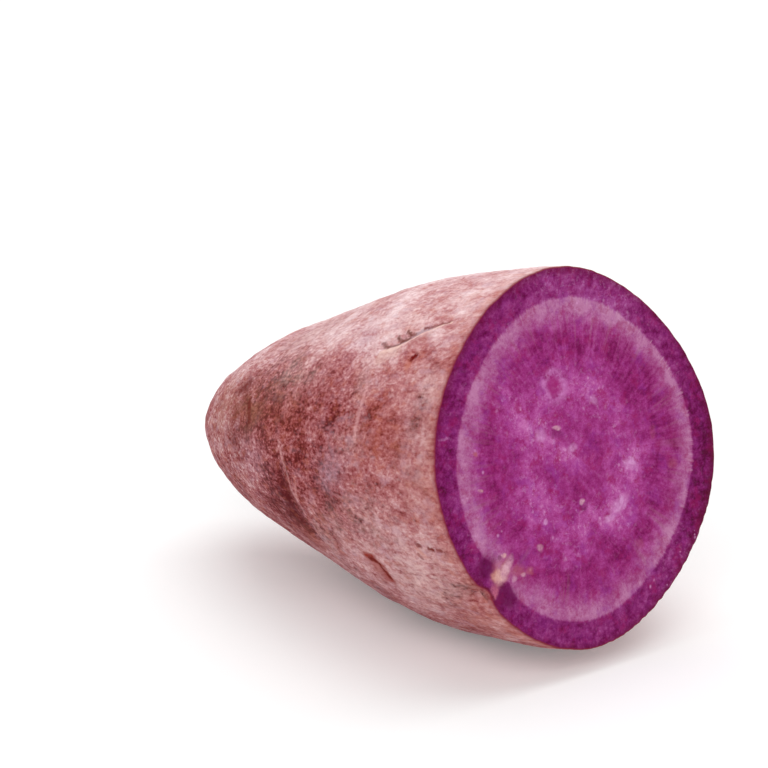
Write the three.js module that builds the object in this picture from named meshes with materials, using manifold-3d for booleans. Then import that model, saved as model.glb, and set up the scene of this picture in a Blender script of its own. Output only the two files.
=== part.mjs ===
// Half of a purple sweet potato, cut straight across its middle.
//
// The root grew as one piece, so it is one solid: a fat round root that narrows from
// the cut face to a blunt end with a small corky scar. It lies on its belly on a level
// surface. The cut face looks out along +X and a little upwards, and the scarred end
// points along -X.
//
// Millimetres, +Z up. The origin is under the middle of the root's bounding box, on
// the surface that it rests on.

import * as THREE from 'three';
import { mergeVertices } from 'three/addons/utils/BufferGeometryUtils.js';
import Module from 'manifold-3d';

// ---------------------------------------------------------------- driving dimensions

const CUT_HEIGHT = 64; // tall way across the cut face
const CUT_WIDTH = 62; // short way across the cut face
const AXIS_LENGTH = 92; // from the cut face to where the taper would close on the axis
const SCAR_STATION = 0.985; // where the end scar cuts the taper off, as a share of AXIS_LENGTH
const SCAR_DOME = 1.2; // how far the scar stands out from its rim

const LEAN_DEGREES = 13.5; // how far the cut face is turned up from upright
const END_LIFT = 6.6; // how far the axis has bent upwards by its end
const END_DRIFT = -4.6; // how far the axis has bent sideways by its end
const REST_DEPTH = 0.4; // how deep the flat that it rests on cuts into the belly

const SKIN_COLOR = 0xa66a6c;
const SKIN_ROUGHNESS = 0.8;

// ------------------------------------------------------------------ shape of the root

// The section is an oval with a few low waves around it. Each wave makes `count`
// crests, the first at `crest` degrees, and each stands out by `height` of the radius.
// Angles run around the axis from +Y, with the top of the root at 90 degrees.
const OVAL_TURN_DEGREES = 16;
const SECTION_WAVES = [
  { count: 3, crest: -4, height: 0.01 },
  { count: 4, crest: -6.5, height: 0.017 },
];

// The radius shrinks to the end as (1 - station ^ FULLNESS) ^ BLUNTNESS.
const FULLNESS = 2;
const BLUNTNESS = 0.6;

// Broad swells and hollows in the side of the root. `station` runs from 0 at the cut
// to 1 at the end, `reach` is a swell's half-length in the same measure, `angle` and
// `spread` are degrees around the axis, and `rise` is a share of the radius.
const SWELLS = [
  { rise: -0.135, station: 0.62, reach: 0.21, angle: 239, spread: 42 },
  { rise: 0.08, station: 0.56, reach: 0.16, angle: 268, spread: 38 },
  { rise: -0.08, station: 0.62, reach: 0.2, angle: 109, spread: 28 },
  { rise: 0.035, station: 0.4, reach: 0.24, angle: 25, spread: 36 },
  { rise: -0.05, station: 0.7, reach: 0.2, angle: -20, spread: 34 },
];

const AROUND_STEPS = 80;
const BODY_STEPS = 40;
const SCAR_STEPS = 2;

/** Polar radius of the cut face's outline at an angle around the axis. */
function sectionRadius(angle) {
  const turned = angle - THREE.MathUtils.degToRad(OVAL_TURN_DEGREES);
  const across = (2 * Math.cos(turned)) / CUT_WIDTH;
  const upright = (2 * Math.sin(turned)) / CUT_HEIGHT;
  const waves = SECTION_WAVES.map(({ count, crest, height }) => {
    return height * Math.cos(count * (angle - THREE.MathUtils.degToRad(crest)));
  });
  return (1 + waves.reduce((sum, wave) => sum + wave, 0)) / Math.hypot(across, upright);
}

/** Share of the cut face's radius that is left at a station along the axis. */
function taper(station) {
  return (1 - station ** FULLNESS) ** BLUNTNESS;
}

/** Factor on the radius from the swells and hollows at a station and an angle. */
function swellFactor(station, angle) {
  return SWELLS.reduce((factor, swell) => {
    const away = angle - THREE.MathUtils.degToRad(swell.angle);
    const around = Math.atan2(Math.sin(away), Math.cos(away)) / THREE.MathUtils.degToRad(swell.spread);
    const along = (station - swell.station) / swell.reach;
    return factor * (1 + swell.rise * Math.exp(-(along ** 2) - around ** 2));
  }, 1);
}

/** Profile for the lathe: x is a share of the section, y is the way along the axis. */
function rootProfile() {
  const profile = [new THREE.Vector2(0, 0)];
  for (let step = 0; step <= BODY_STEPS; step += 1) {
    const station = SCAR_STATION * Math.sin((step / BODY_STEPS) * (Math.PI / 2));
    profile.push(new THREE.Vector2(taper(station), station * AXIS_LENGTH));
  }
  const scarRadius = taper(SCAR_STATION);
  for (let step = 1; step <= SCAR_STEPS; step += 1) {
    const inward = (step / SCAR_STEPS) * (Math.PI / 2);
    const along = SCAR_STATION * AXIS_LENGTH + SCAR_DOME * Math.sin(inward);
    profile.push(new THREE.Vector2(step === SCAR_STEPS ? 0 : scarRadius * Math.cos(inward), along));
  }
  return profile;
}

/** Turns the round lathe form into the root: section, swells and the bend of the axis. */
function shapeRoot(geometry) {
  const position = geometry.getAttribute('position');
  for (let index = 0; index < position.count; index += 1) {
    const along = position.getY(index);
    const share = Math.hypot(position.getX(index), position.getZ(index));
    const angle = Math.atan2(position.getZ(index), position.getX(index));
    const station = along / AXIS_LENGTH;
    const radius = share * sectionRadius(angle) * swellFactor(station, angle);
    const side = radius * Math.cos(angle) + END_DRIFT * station ** 2;
    const up = radius * Math.sin(angle) + END_LIFT * station ** 2;
    position.setXYZ(index, -along, side, up);
  }
}

// ------------------------------------------------------------------- solids and joins

const wasm = await Module();
wasm.setup();

/** Closed three.js geometry to a solid, without the slivers that close a lathe's poles. */
function toSolid(geometry) {
  geometry.deleteAttribute('normal');
  geometry.deleteAttribute('uv');
  const merged = mergeVertices(geometry, 1e-5);
  const corners = merged.getIndex().array;
  const triangles = [];
  for (let at = 0; at < corners.length; at += 3) {
    const [a, b, c] = corners.slice(at, at + 3);
    if (a !== b && b !== c && c !== a) {
      triangles.push(a, b, c);
    }
  }
  const mesh = new wasm.Mesh({
    numProp: 3,
    vertProperties: new Float32Array(merged.getAttribute('position').array),
    triVerts: new Uint32Array(triangles),
  });
  return new wasm.Manifold(mesh);
}

/** Solid back to a three.js geometry. */
function toGeometry(solid) {
  const mesh = solid.getMesh();
  const geometry = new THREE.BufferGeometry();
  geometry.setAttribute('position', new THREE.BufferAttribute(mesh.vertProperties, 3));
  geometry.setIndex(new THREE.BufferAttribute(mesh.triVerts, 1));
  geometry.computeVertexNormals();
  return geometry;
}

/** Cuts the small flat that the root rests on into the lowest part of its belly. */
function cutRestFlat(geometry) {
  geometry.computeBoundingBox();
  const { min, max } = geometry.boundingBox;
  const middle = geometry.boundingBox.getCenter(new THREE.Vector3());
  const slabDepth = max.z - min.z;
  const slab = new THREE.BoxGeometry(2 * (max.x - min.x), 2 * (max.y - min.y), slabDepth);
  slab.translate(middle.x, middle.y, min.z + REST_DEPTH - slabDepth / 2);
  return toGeometry(toSolid(geometry).subtract(toSolid(slab)));
}

/** The root, leaning as it lies, with its footprint's middle on the origin. */
function sweetPotatoHalf() {
  const form = new THREE.LatheGeometry(rootProfile(), AROUND_STEPS);
  shapeRoot(form);
  form.rotateY(THREE.MathUtils.degToRad(-LEAN_DEGREES));
  const geometry = cutRestFlat(form);
  geometry.computeBoundingBox();
  const middle = geometry.boundingBox.getCenter(new THREE.Vector3());

  const material = new THREE.MeshStandardMaterial({
    color: SKIN_COLOR,
    roughness: SKIN_ROUGHNESS,
    metalness: 0,
  });
  const mesh = new THREE.Mesh(geometry, material);
  mesh.name = 'sweet_potato_half';
  mesh.position.set(-middle.x, -middle.y, -geometry.boundingBox.min.z);
  return mesh;
}

const purpleSweetPotato = new THREE.Group();
purpleSweetPotato.add(sweetPotatoHalf());

export default purpleSweetPotato;
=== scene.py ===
"""Half of a purple sweet potato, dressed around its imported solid.

The root is one closed mesh of skin and flesh that stands for its plain CAD solid. It is a
round form turned about a gently bent axis, with broad swells, a knife-cut face and a small
corky scar at its far end. Fine relief is pushed along the surface, and two procedural
finishes dress it: dry dusty skin and moist ringed flesh.

Metres, +Z up. A station is a share of the axis, from 0 at the cut face to 1 at the far end.
Angles turn about the axis from +Y, and the top of the root is at 90 degrees.
"""

import logging
import math
from dataclasses import dataclass
from enum import Enum, IntEnum
from itertools import product
from typing import Sequence

import bpy
import numpy as np
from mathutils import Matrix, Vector


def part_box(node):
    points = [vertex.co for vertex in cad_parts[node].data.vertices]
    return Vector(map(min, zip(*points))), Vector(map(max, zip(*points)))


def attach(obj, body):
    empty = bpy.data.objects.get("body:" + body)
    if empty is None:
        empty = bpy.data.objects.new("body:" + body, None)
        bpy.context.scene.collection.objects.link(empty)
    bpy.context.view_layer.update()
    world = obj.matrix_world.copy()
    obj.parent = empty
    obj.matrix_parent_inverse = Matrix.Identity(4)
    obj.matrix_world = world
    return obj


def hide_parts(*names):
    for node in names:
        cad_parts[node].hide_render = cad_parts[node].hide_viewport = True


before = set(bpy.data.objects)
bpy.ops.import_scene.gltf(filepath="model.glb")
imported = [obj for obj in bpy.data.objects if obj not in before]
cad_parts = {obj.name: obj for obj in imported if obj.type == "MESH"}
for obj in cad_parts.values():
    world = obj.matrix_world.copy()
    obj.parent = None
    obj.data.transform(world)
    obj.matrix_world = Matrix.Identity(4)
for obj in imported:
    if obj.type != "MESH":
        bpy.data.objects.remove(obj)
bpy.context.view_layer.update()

LOG = logging.getLogger("sweet_potato")
NODE = "sweet_potato_half"
BODY = "root"
BAKE_MAP = "OFBake"
SHEET_SHARE = 0.54
MAP_GAP = 0.01
MM = 0.001
TIP_ROOM = 1.0 * MM

Array = np.ndarray
Socket = bpy.types.NodeSocket
Colour = tuple[float, float, float, float]
Path = tuple[tuple[float, float], ...]
Stops = tuple[tuple[float, Colour], ...]


# --------------------------------------------------------------------------- small helpers


def srgb(red: int, green: int, blue: int) -> Colour:
    """Turn a screen colour into the linear colour that a shader takes.

    Args:
        red: Red, 0 to 255.
        green: Green, 0 to 255.
        blue: Blue, 0 to 255.

    Returns:
        The linear colour with full alpha.
    """
    shares = np.array([red, green, blue]) / 255.0
    low, high = shares / 12.92, ((shares + 0.055) / 1.055) ** 2.4
    return (*np.where(shares <= 0.04045, low, high).tolist(), 1.0)


def shades(*rows: tuple[int, int, int]) -> Stops:
    """Stops at equal steps from 0 to 1, from their screen colours."""
    return tuple((index / (len(rows) - 1), srgb(*row)) for index, row in enumerate(rows))


def turn_between(angle: Array, centre: float) -> Array:
    """Signed turn from a centre angle to each angle, both in radians, between -pi and pi."""
    return np.arctan2(np.sin(angle - centre), np.cos(angle - centre))


def fade(value: Array, start: float, end: float) -> Array:
    """Smooth step: 0 at start, 1 at end, with no corner at either."""
    share = np.clip((value - start) / (end - start), 0.0, 1.0)
    return share * share * (3.0 - 2.0 * share)


class SpaceNoise:
    """A smooth random field in space, the same on every run.

    Each corner of a cubic lattice holds a random direction. A point takes the dot product of
    each of its eight corners' directions with its offset from that corner, and blends the
    eight with a curve that is flat at both ends.
    """

    LATTICE = 48
    GAIN = 1.6

    def __init__(self, seed: int) -> None:
        """Draw the lattice's directions from a seed."""
        ways = np.random.default_rng(seed).normal(size=(self.LATTICE,) * 3 + (3,))
        self._ways = ways / np.linalg.norm(ways, axis=-1, keepdims=True)

    def __call__(self, points: Array, cell: float | Array) -> Array:
        """Read the field.

        Args:
            points: Places, with x, y and z last.
            cell: Size of a lattice cell, in the same unit, or one size for each axis.

        Returns:
            Values of about -1 to 1, one for each place.
        """
        scaled = points / np.asarray(cell)
        floor = np.floor(scaled)
        offset = scaled - floor
        blend = offset**3 * (offset * (offset * 6.0 - 15.0) + 10.0)
        corner = floor.astype(int)
        total = np.zeros(points.shape[:-1])
        for step in product((0, 1), repeat=3):
            at = (corner + step) % self.LATTICE
            way = self._ways[at[..., 0], at[..., 1], at[..., 2]]
            weight = np.prod(np.where(step, blend, 1.0 - blend), axis=-1)
            total += weight * np.sum(way * (offset - step), axis=-1)
        return self.GAIN * total


# ------------------------------------------------------------------------- the root's form


@dataclass(frozen=True)
class Wave:
    """A low wave round the cut's outline: how many crests, where the first is, how high."""

    count: int
    crest_deg: float
    height: float

    def at(self, angle: Array) -> Array:
        """Height at an angle: a cosine that turns as many times as there are crests."""
        return self.height * np.cos(self.count * (angle - math.radians(self.crest_deg)))


@dataclass(frozen=True)
class Swell:
    """A broad swell, or a hollow if its rise is negative, in the side of the root."""

    rise: float
    station: float
    reach: float
    angle_deg: float
    spread_deg: float

    def share(self, station: Array, angle: Array) -> Array:
        """Rise at a place: a bell curve along the axis times a bell curve round it.

        Args:
            station: Share of the axis.
            angle: Turn about the axis.

        Returns:
            The rise at each place.
        """
        along = (station - self.station) / self.reach
        around = turn_between(angle, math.radians(self.angle_deg)) / math.radians(self.spread_deg)
        return self.rise * np.exp(-(along**2) - around**2)


@dataclass(frozen=True)
class RootForm:
    """The smooth form of the root, the same as its solid's."""

    cut_height: float = 64 * MM
    cut_width: float = 62 * MM
    axis_length: float = 92 * MM
    scar_station: float = 0.985
    scar_dome: float = 1.2 * MM
    lean_deg: float = 13.5
    end_lift: float = 6.6 * MM
    end_drift: float = -4.6 * MM
    rest_depth: float = 0.4 * MM
    oval_turn_deg: float = 16.0
    fullness: float = 2.0
    bluntness: float = 0.6
    waves: tuple[Wave, ...] = (Wave(3, -4.0, 0.01), Wave(4, -6.5, 0.017))
    swells: tuple[Swell, ...] = (
        Swell(-0.135, 0.62, 0.21, 239, 42),
        Swell(0.08, 0.56, 0.16, 268, 38),
        Swell(-0.08, 0.62, 0.2, 109, 28),
        Swell(0.035, 0.4, 0.24, 25, 36),
        Swell(-0.05, 0.7, 0.2, -20, 34),
    )

    def outline(self, station: Array, angle: Array) -> Array:
        """Radius before the taper.

        An oval's polar radius, times one plus its low waves, times one plus each swell.

        Args:
            station: Share of the axis.
            angle: Turn about the axis.

        Returns:
            The radius at each place.
        """
        turned = angle - math.radians(self.oval_turn_deg)
        oval = 0.5 / np.hypot(np.cos(turned) / self.cut_width, np.sin(turned) / self.cut_height)
        waves = sum(wave.at(angle) for wave in self.waves)
        swollen = np.prod([1.0 + swell.share(station, angle) for swell in self.swells], axis=0)
        return oval * (1.0 + waves) * swollen

    def taper(self, station: Array) -> Array:
        """Share of the radius left: (1 - station ^ fullness) ^ bluntness."""
        return (1.0 - station**self.fullness) ** self.bluntness

    def place(self, along: Array, angle: Array, radius: Array) -> Array:
        """Turn axis measures into places, with the middle of the cut face at zero.

        The axis runs straight back from the cut and bends up and aside with the square of
        the station. The whole is then leaned back about the cut's level cross line.

        Args:
            along: Distance along the axis.
            angle: Turn about the axis.
            radius: Distance from the axis.

        Returns:
            Places, with x, y and z last.
        """
        bend = (along / self.axis_length) ** 2
        side = radius * np.cos(angle) + self.end_drift * bend
        up = radius * np.sin(angle) + self.end_lift * bend
        lean = math.radians(self.lean_deg)
        x = -along * math.cos(lean) - up * math.sin(lean)
        z = -along * math.sin(lean) + up * math.cos(lean)
        return np.stack(np.broadcast_arrays(x, side, z), axis=-1)

    def measures(self, spots: Sequence[tuple[float, float]]) -> tuple[Array, Array, Array]:
        """Turn places on the skin into axis measures.

        Args:
            spots: Pairs of a station and an angle in degrees.

        Returns:
            The way along, the angle and the radius of each.
        """
        station, degrees = np.array(spots, dtype=float).reshape(-1, 2).T
        angle = np.radians(degrees)
        return station * self.axis_length, angle, self.taper(station) * self.outline(station, angle)

    @staticmethod
    def straight(along: Array, angle: Array, radius: Array) -> Array:
        """Places with the axis unbent: the way along, then across and up from the axis."""
        return np.stack((along, radius * np.cos(angle), radius * np.sin(angle)), axis=-1)


# -------------------------------------------------------------------- marks on the surface


@dataclass(frozen=True)
class Fold:
    """A broad groove, or a ridge if its depth is negative, along a path on the skin.

    The path is a row of pairs, each a station and an angle in degrees.
    """

    path: Path
    half_width: float
    depth: float
    ragged: float

    def nearness(self, form: RootForm, points: Array, ripple: Array) -> Array:
        """How near each place is to the path: a bell curve of the way to its nearest stretch.

        Args:
            form: The form that the path lies on.
            points: Places on it.
            ripple: A random field at the places, which makes the edge uneven.

        Returns:
            1 on the path, falling to 0 at about twice the half width.
        """
        route = form.place(*form.measures(self.path))
        nearest = np.full(points.shape[:-1], np.inf)
        for start, end in zip(route, route[1:] if len(route) > 1 else route):
            run = end - start
            share = np.clip((points - start) @ run / max(float(run @ run), 1e-12), 0.0, 1.0)
            away = points - (start + share[..., None] * run)
            nearest = np.minimum(nearest, np.linalg.norm(away, axis=-1))
        width = self.half_width * (1.0 + self.ragged * ripple)
        return np.exp(-((nearest / width) ** 2))


@dataclass(frozen=True)
class Mark:
    """A thin mark that the skin's finish draws along a path of (station, angle in degrees)."""

    path: Path
    half_width: float
    colour: Colour
    strength: float


class Tint(Enum):
    """What a stain on the skin does to its look."""

    BARE = "bare"
    LILAC = "lilac"
    ASH = "ash"
    RUST = "rust"
    OLIVE = "olive"
    PALE = "pale"
    # Dark skin, and painted shade in creases and on the tail's lower side.
    DARK = "dark"


@dataclass(frozen=True)
class Stain:
    """A soft-edged patch of the skin: its middle, half sizes and strength."""

    station: float
    angle_deg: float
    along: float
    around: float
    strength: float

    def amount(self, form: RootForm, along: Array, angle: Array, radius: Array) -> Array:
        """Strength at each place: a bell curve along the axis times one round it.

        Args:
            form: The form that the stain lies on.
            along: Way along the axis.
            angle: Turn about the axis.
            radius: Distance from the axis.

        Returns:
            The strength at each place.
        """
        gap = (along - self.station * form.axis_length) / self.along
        swing = turn_between(angle, math.radians(self.angle_deg)) * radius / self.around
        return self.strength * np.exp(-(gap**2) - swing**2)


FOLDS = tuple(
    Fold(path, half_width * MM, depth * MM, ragged)
    for half_width, depth, ragged, path in (
        (0.9, 0.3, 0.4, ((0.225, 130.8), (0.19, 129.6), (0.165, 127.6))),
        (0.6, 0.25, 0.1, ((0.155, 127.0), (0.1, 123.8), (0.07, 122.3))),
        (0.8, -0.28, 0.1, ((0.225, 134.6), (0.17, 132.2), (0.125, 128.6), (0.08, 125.0))),
        (1.3, 0.25, 0.1, ((0.13, 134.0), (0.115, 131.0))),
        (0.7, 0.35, 0.1, ((0.129, 137.5), (0.121, 135.5))),
        (1.9, 0.42, 0.1, ((0.53, 172.0), (0.505, 190.0), (0.482, 206.5), (0.474, 226.0), (0.48, 246.0))),
        (2.4, -0.2, 0.1, ((0.47, 172.0), (0.44, 191.0), (0.424, 206.5), (0.42, 228.0))),
        (0.8, 0.2, 0.1, ((0.28, 205.0), (0.268, 217.0))),
        (1.6, 0.6, 0.2, ((0.57, 322.0), (0.56, 338.0), (0.54, 356.0), (0.55, 14.0), (0.54, 30.0))),
        (2.2, -0.25, 0.1, ((0.5, 336.0), (0.48, 356.0), (0.49, 16.0))),
        (1.8, 0.25, 0.2, ((0.3, 60.0), (0.31, 84.0))),
        (0.8, 0.4, 0.4, ((0.52, 24.0), (0.515, 28.0))),
        (0.8, 0.3, 0.4, ((0.7, 298.0), (0.69, 312.0))),
        (0.8, 0.25, 0.4, ((0.36, 262.0), (0.33, 280.0))),
        (0.8, 0.25, 0.4, ((0.87, 150.0), (0.86, 190.0))),
        (1.3, 0.5, 0.5, ((0.401, 18.5), (0.397, 22.5))),
        (1.1, 0.45, 0.4, ((0.636, 345.4),)),
        (1, 0.4, 0.4, ((0.168, 323.6),)),
        (1.5, 0.55, 0.2, ((0.76, 320.0), (0.735, 345.0), (0.745, 12.0), (0.72, 36.0))),
        (2.2, -0.25, 0.1, ((0.7, 322.0), (0.68, 345.0), (0.69, 10.0))),
        (0.9, 0.35, 0.3, ((0.235, 352.0), (0.19, 358.5), (0.15, 2.5))),
        (0.9, -0.25, 0.1, ((0.24, 347.5), (0.19, 354.0), (0.15, 358.5))),
        (1.6, 0.45, 0.3, ((0.34, 302.0), (0.32, 318.0), (0.33, 334.0))),
    )
)

LIP = srgb(244, 206, 196)
# Pale lines along ridges; on the back folds they are painted highlights.
RUBBED_AND_HIGHLIGHT = srgb(228, 172, 174)
SHREDDED = srgb(124, 70, 64)
GREY = srgb(184, 152, 160)
BROWN = srgb(122, 42, 38)
# Rusty red-brown; under the torn lip it is painted shade.
RUST_AND_SHADE = srgb(152, 48, 36)
ORANGE = srgb(204, 122, 96)
DEEP_RED = srgb(112, 14, 12)
# Dark scurf; in the back folds' grooves it is painted shade.
SCURF_AND_SHADE = srgb(108, 22, 16)
MARKS = tuple(
    Mark(path, half_width * MM, colour, strength)
    for colour, half_width, strength, path in (
        (LIP, 1.2, 0.4, ((0.226, 136.4), (0.203, 134.6), (0.184, 133.6))),
        (GREY, 0.6, 0.65, ((0.205, 131.4), (0.185, 130.4), (0.165, 128.4), (0.15, 127.2))),
        (SHREDDED, 0.5, 0.75, ((0.238, 130.4), (0.226, 131.6), (0.216, 132.0))),
        (SHREDDED, 0.42, 0.8, ((0.216, 132.0), (0.186, 131.2))),
        (SHREDDED, 0.42, 0.8, ((0.204, 128.0), (0.197, 129.0), (0.188, 129.6))),
        (SHREDDED, 0.5, 0.85, ((0.188, 129.6), (0.171, 128.7))),
        (SHREDDED, 0.36, 0.85, ((0.186, 125.8), (0.18, 126.6), (0.171, 127.2))),
        (SHREDDED, 0.36, 0.8, ((0.171, 127.2), (0.16, 127.0))),
        (GREY, 0.5, 0.7, ((0.154, 127.0), (0.139, 125.8), (0.124, 125.0))),
        (BROWN, 0.3, 0.75, ((0.139, 125.0), (0.111, 124.0), (0.078, 122.5))),
        (LIP, 0.5, 0.7, ((0.23, 134.3), (0.205, 133.2), (0.182, 132.2))),
        (LIP, 0.38, 0.75, ((0.182, 132.2), (0.157, 129.6), (0.129, 127.0), (0.1, 124.6), (0.074, 122.9))),
        # Painted shade under the torn lip, in a rusty red-brown.
        (RUST_AND_SHADE, 0.9, 0.3, ((0.148, 131.4), (0.125, 129.6), (0.114, 128.4))),
        (ORANGE, 0.8, 0.4, ((0.134, 138.0), (0.13, 139.6))),
        (DEEP_RED, 0.42, 0.95, ((0.132, 136.8), (0.128, 135.8), (0.124, 135.0))),
        (RUBBED_AND_HIGHLIGHT, 0.55, 0.45, ((0.236, 145.5), (0.234, 151.0), (0.236, 157.0), (0.238, 163.5))),
        (RUBBED_AND_HIGHLIGHT, 0.4, 0.34, ((0.508, 166.0), (0.49, 174.0), (0.476, 181.0), (0.461, 194.0))),
        (RUBBED_AND_HIGHLIGHT, 0.32, 0.35, ((0.45, 180.5), (0.459, 184.5), (0.469, 188.8))),
        (SCURF_AND_SHADE, 0.9, 0.55, ((0.491, 184.4), (0.483, 187.6))),
        (RUST_AND_SHADE, 1.6, 0.4, ((0.284, 208.5), (0.274, 214.0))),
        (RUST_AND_SHADE, 1.1, 0.85, ((0.292, 205.0), (0.278, 205.8), (0.262, 209.2), (0.266, 215.4))),
        (SCURF_AND_SHADE, 0.6, 0.8, ((0.286, 206.2), (0.268, 208.0), (0.266, 214.8))),
        (ORANGE, 0.7, 0.3, ((0.107, 198.4), (0.1, 200.4))),
        (BROWN, 0.5, 0.8, ((0.106, 196.7), (0.097, 197.2))),
        (BROWN, 0.4, 0.55, ((0.114, 200.6), (0.108, 202.0))),
        (BROWN, 0.42, 0.8, ((0.073, 197.7), (0.062, 198.1))),
        (BROWN, 0.36, 0.7, ((0.05, 198.0), (0.04, 198.3))),
        (SCURF_AND_SHADE, 1, 0.6, ((0.693, 139.6), (0.716, 143.4))),
        (SCURF_AND_SHADE, 0.8, 0.7, ((0.66, 150.6), (0.65, 155.0), (0.642, 159.0))),
        (RUST_AND_SHADE, 0.5, 0.7, ((0.641, 123.5),)),
        (BROWN, 0.5, 0.8, ((0.52, 24.0), (0.515, 28.0))),
        (BROWN, 0.5, 0.7, ((0.18, 40.0), (0.178, 41.4))),
        (BROWN, 0.5, 0.7, ((0.44, 346.0), (0.432, 347.4))),
        (DEEP_RED, 0.4, 0.7, ((0.33, 66.0),)),
        (BROWN, 0.4, 0.7, ((0.6, 72.0), (0.596, 74.0))),
        (SCURF_AND_SHADE, 0.45, 0.8, ((0.73, 8.0), (0.728, 11.0))),
        (RUST_AND_SHADE, 0.3, 0.7, ((0.31, 318.0), (0.27, 323.0), (0.24, 331.0))),
        (BROWN, 0.35, 0.7, ((0.7, 298.0), (0.69, 312.0))),
        (RUST_AND_SHADE, 0.4, 0.6, ((0.36, 262.0), (0.33, 280.0))),
        (SCURF_AND_SHADE, 0.35, 0.7, ((0.8, 60.0), (0.79, 80.0))),
        (SCURF_AND_SHADE, 0.3, 0.6, ((0.87, 150.0), (0.86, 190.0))),
        (BROWN, 0.34, 0.8, ((0.22, 355.0), (0.19, 358.8), (0.155, 2.2))),
        (LIP, 0.4, 0.55, ((0.235, 349.0), (0.2, 354.0), (0.16, 358.6))),
        # Painted highlights along the ridges of the back folds.
        (RUBBED_AND_HIGHLIGHT, 0.5, 0.3, ((0.588, 334.0), (0.572, 343.0), (0.561, 351.0), (0.558, 359.0))),
        (RUBBED_AND_HIGHLIGHT, 0.45, 0.35, ((0.77, 326.0), (0.757, 340.0), (0.752, 348.0))),
        # Painted shade: thin dark lines in the grooves of the back folds.
        (SCURF_AND_SHADE, 0.5, 0.5, ((0.55, 342.0), (0.536, 356.0))),
        (SCURF_AND_SHADE, 0.5, 0.5, ((0.742, 338.0), (0.733, 350.0))),
        (RUST_AND_SHADE, 1.4, 0.55, ((0.402, 18.0), (0.396, 23.0))),
        (DEEP_RED, 0.55, 0.85, ((0.4, 19.6), (0.397, 21.8))),
        (RUST_AND_SHADE, 1.2, 0.5, ((0.64, 344.0), (0.632, 347.0))),
        (DEEP_RED, 0.5, 0.8, ((0.636, 345.4),)),
        (RUST_AND_SHADE, 1.2, 0.5, ((0.17, 322.0), (0.165, 325.5))),
        (DEEP_RED, 0.5, 0.8, ((0.168, 323.6),)),
        (RUBBED_AND_HIGHLIGHT, 0.35, 0.5, ((0.6, 300.0), (0.585, 322.0))),
        (RUBBED_AND_HIGHLIGHT, 0.35, 0.5, ((0.4, 30.0), (0.385, 48.0))),
    )
)

STAINS = {
    tint: tuple(Stain(*middle, along * MM, around * MM, most) for *middle, along, around, most in rows)
    for tint, rows in {
        Tint.BARE: (
            (0.62, 148, 12, 9, 0.82), (0.36, 135, 5, 3.5, 0.45), (0.34, 153, 4.5, 5, 0.5),
            (0.5, 158, 12, 13, 0.92), (0.29, 142, 6, 5, 0.6), (0.38, 184, 8, 7, 0.5),
            (0.54, 192, 5, 8, 0.8), (0.14, 158, 6.5, 5.5, 0.8), (0.13, 165, 4, 3.5, 0.5),
            (0.28, 180, 10, 9, 0.35), (0.05, 215, 3.5, 3, 0.4), (0.62, 196, 8, 10, 0.4),
            (0.14, 135, 3, 2.5, 0.7), (0.06, 160, 6, 4, 0.4), (0.35, 221, 6, 4.5, 0.45),
            (0.03, 135, 3, 4, 0.35), (0.05, 178, 3, 4, 0.4), (0.52, 22, 11, 11, 0.7),
            (0.24, 350, 12, 9, 0.6), (0.7, 330, 9, 9, 0.6), (0.84, 90, 8, 8, 0.5),
            (0.46, 338, 13, 8, 0.75), (0.16, 20, 10, 5, 0.6), (0.56, 0, 4, 13, 0.6),
            (0.75, 350, 4, 10, 0.5),
        ),
        Tint.LILAC: (
            (0.31, 173, 3.6, 2.6, 0.65), (0.34, 178, 3, 2.2, 0.5), (0.3, 128, 6, 5, 0.4),
            (0.62, 175, 5, 5, 0.4), (0.44, 10, 6, 4, 0.5), (0.66, 40, 6, 5, 0.5),
        ),
        Tint.ASH: (
            (0.2, 207, 14, 9, 0.45), (0.42, 222, 10, 6, 0.4), (0.58, 112, 10, 6, 0.4),
            (0.05, 165, 5, 16, 0.3), (0.36, 20, 12, 8, 0.4), (0.3, 280, 16, 9, 0.4),
        ),
        Tint.RUST: (
            (0, 150, 3.2, 400, 0.8), (0.16, 160, 6, 6, 0.6), (0.52, 158, 9, 6, 0.5),
            (0.28, 208, 3, 4, 0.8), (0.52, 211, 2.6, 3.2, 0.9), (0.05, 178, 6, 5, 0.6),
            (0.12, 137, 4, 2.5, 0.5), (0.07, 232, 6, 7, 0.6), (0.42, 100, 4, 3, 0.5),
            (0.3, 30, 8, 6, 0.4), (0.4, 20, 4.5, 3.5, 0.6), (0.636, 345, 4, 3.5, 0.6),
            (0.168, 324, 4, 3.5, 0.6),
        ),
        Tint.OLIVE: (
            (0.645, 154, 4.4, 4, 0.7), (0.77, 152, 7, 6, 0.6), (0.6, 290, 8, 7, 0.5),
            (0.2, 296, 9, 6, 0.4),
        ),
        Tint.PALE: (
            (0.25, 142, 2.4, 4, 0.5), (0.6, 112, 10, 9, 0.4), (0.14, 208, 8, 6, 0.6),
            (0.5, 139, 8, 4.5, 0.45), (0.05, 147, 3, 3, 0.5), (0.17, 218, 5, 4, 0.4),
            (0.22, 188, 6, 4, 0.4), (0.25, 165, 4, 3, 0.2), (0.21, 121, 6, 4, 0.5),
            (0.36, 197, 4, 4, 0.35), (0.43, 204, 2.2, 6, 0.35),
        ),
        # A few are dark skin; most are painted shade: in the back creases, beside the fold at (0.52, 191)
        # and on the tail's lower side.
        Tint.DARK: (
            (0.7, 142, 3, 3, 0.7), (0.7, 168, 3.5, 5, 0.6), (0.52, 191, 3.6, 6.5, 0.65),
            (0.57, 206, 4.5, 5, 0.4), (0.62, 205, 6, 6, 0.4), (0.78, 214, 8, 10, 0.3),
            (0.42, 352, 10, 4, 0.4), (0.555, 352, 2.6, 10, 0.5), (0.73, 350, 4, 9, 0.4),
        ),
    }.items()
}


# --------------------------------------------------------------- how flesh and skin change


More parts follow.
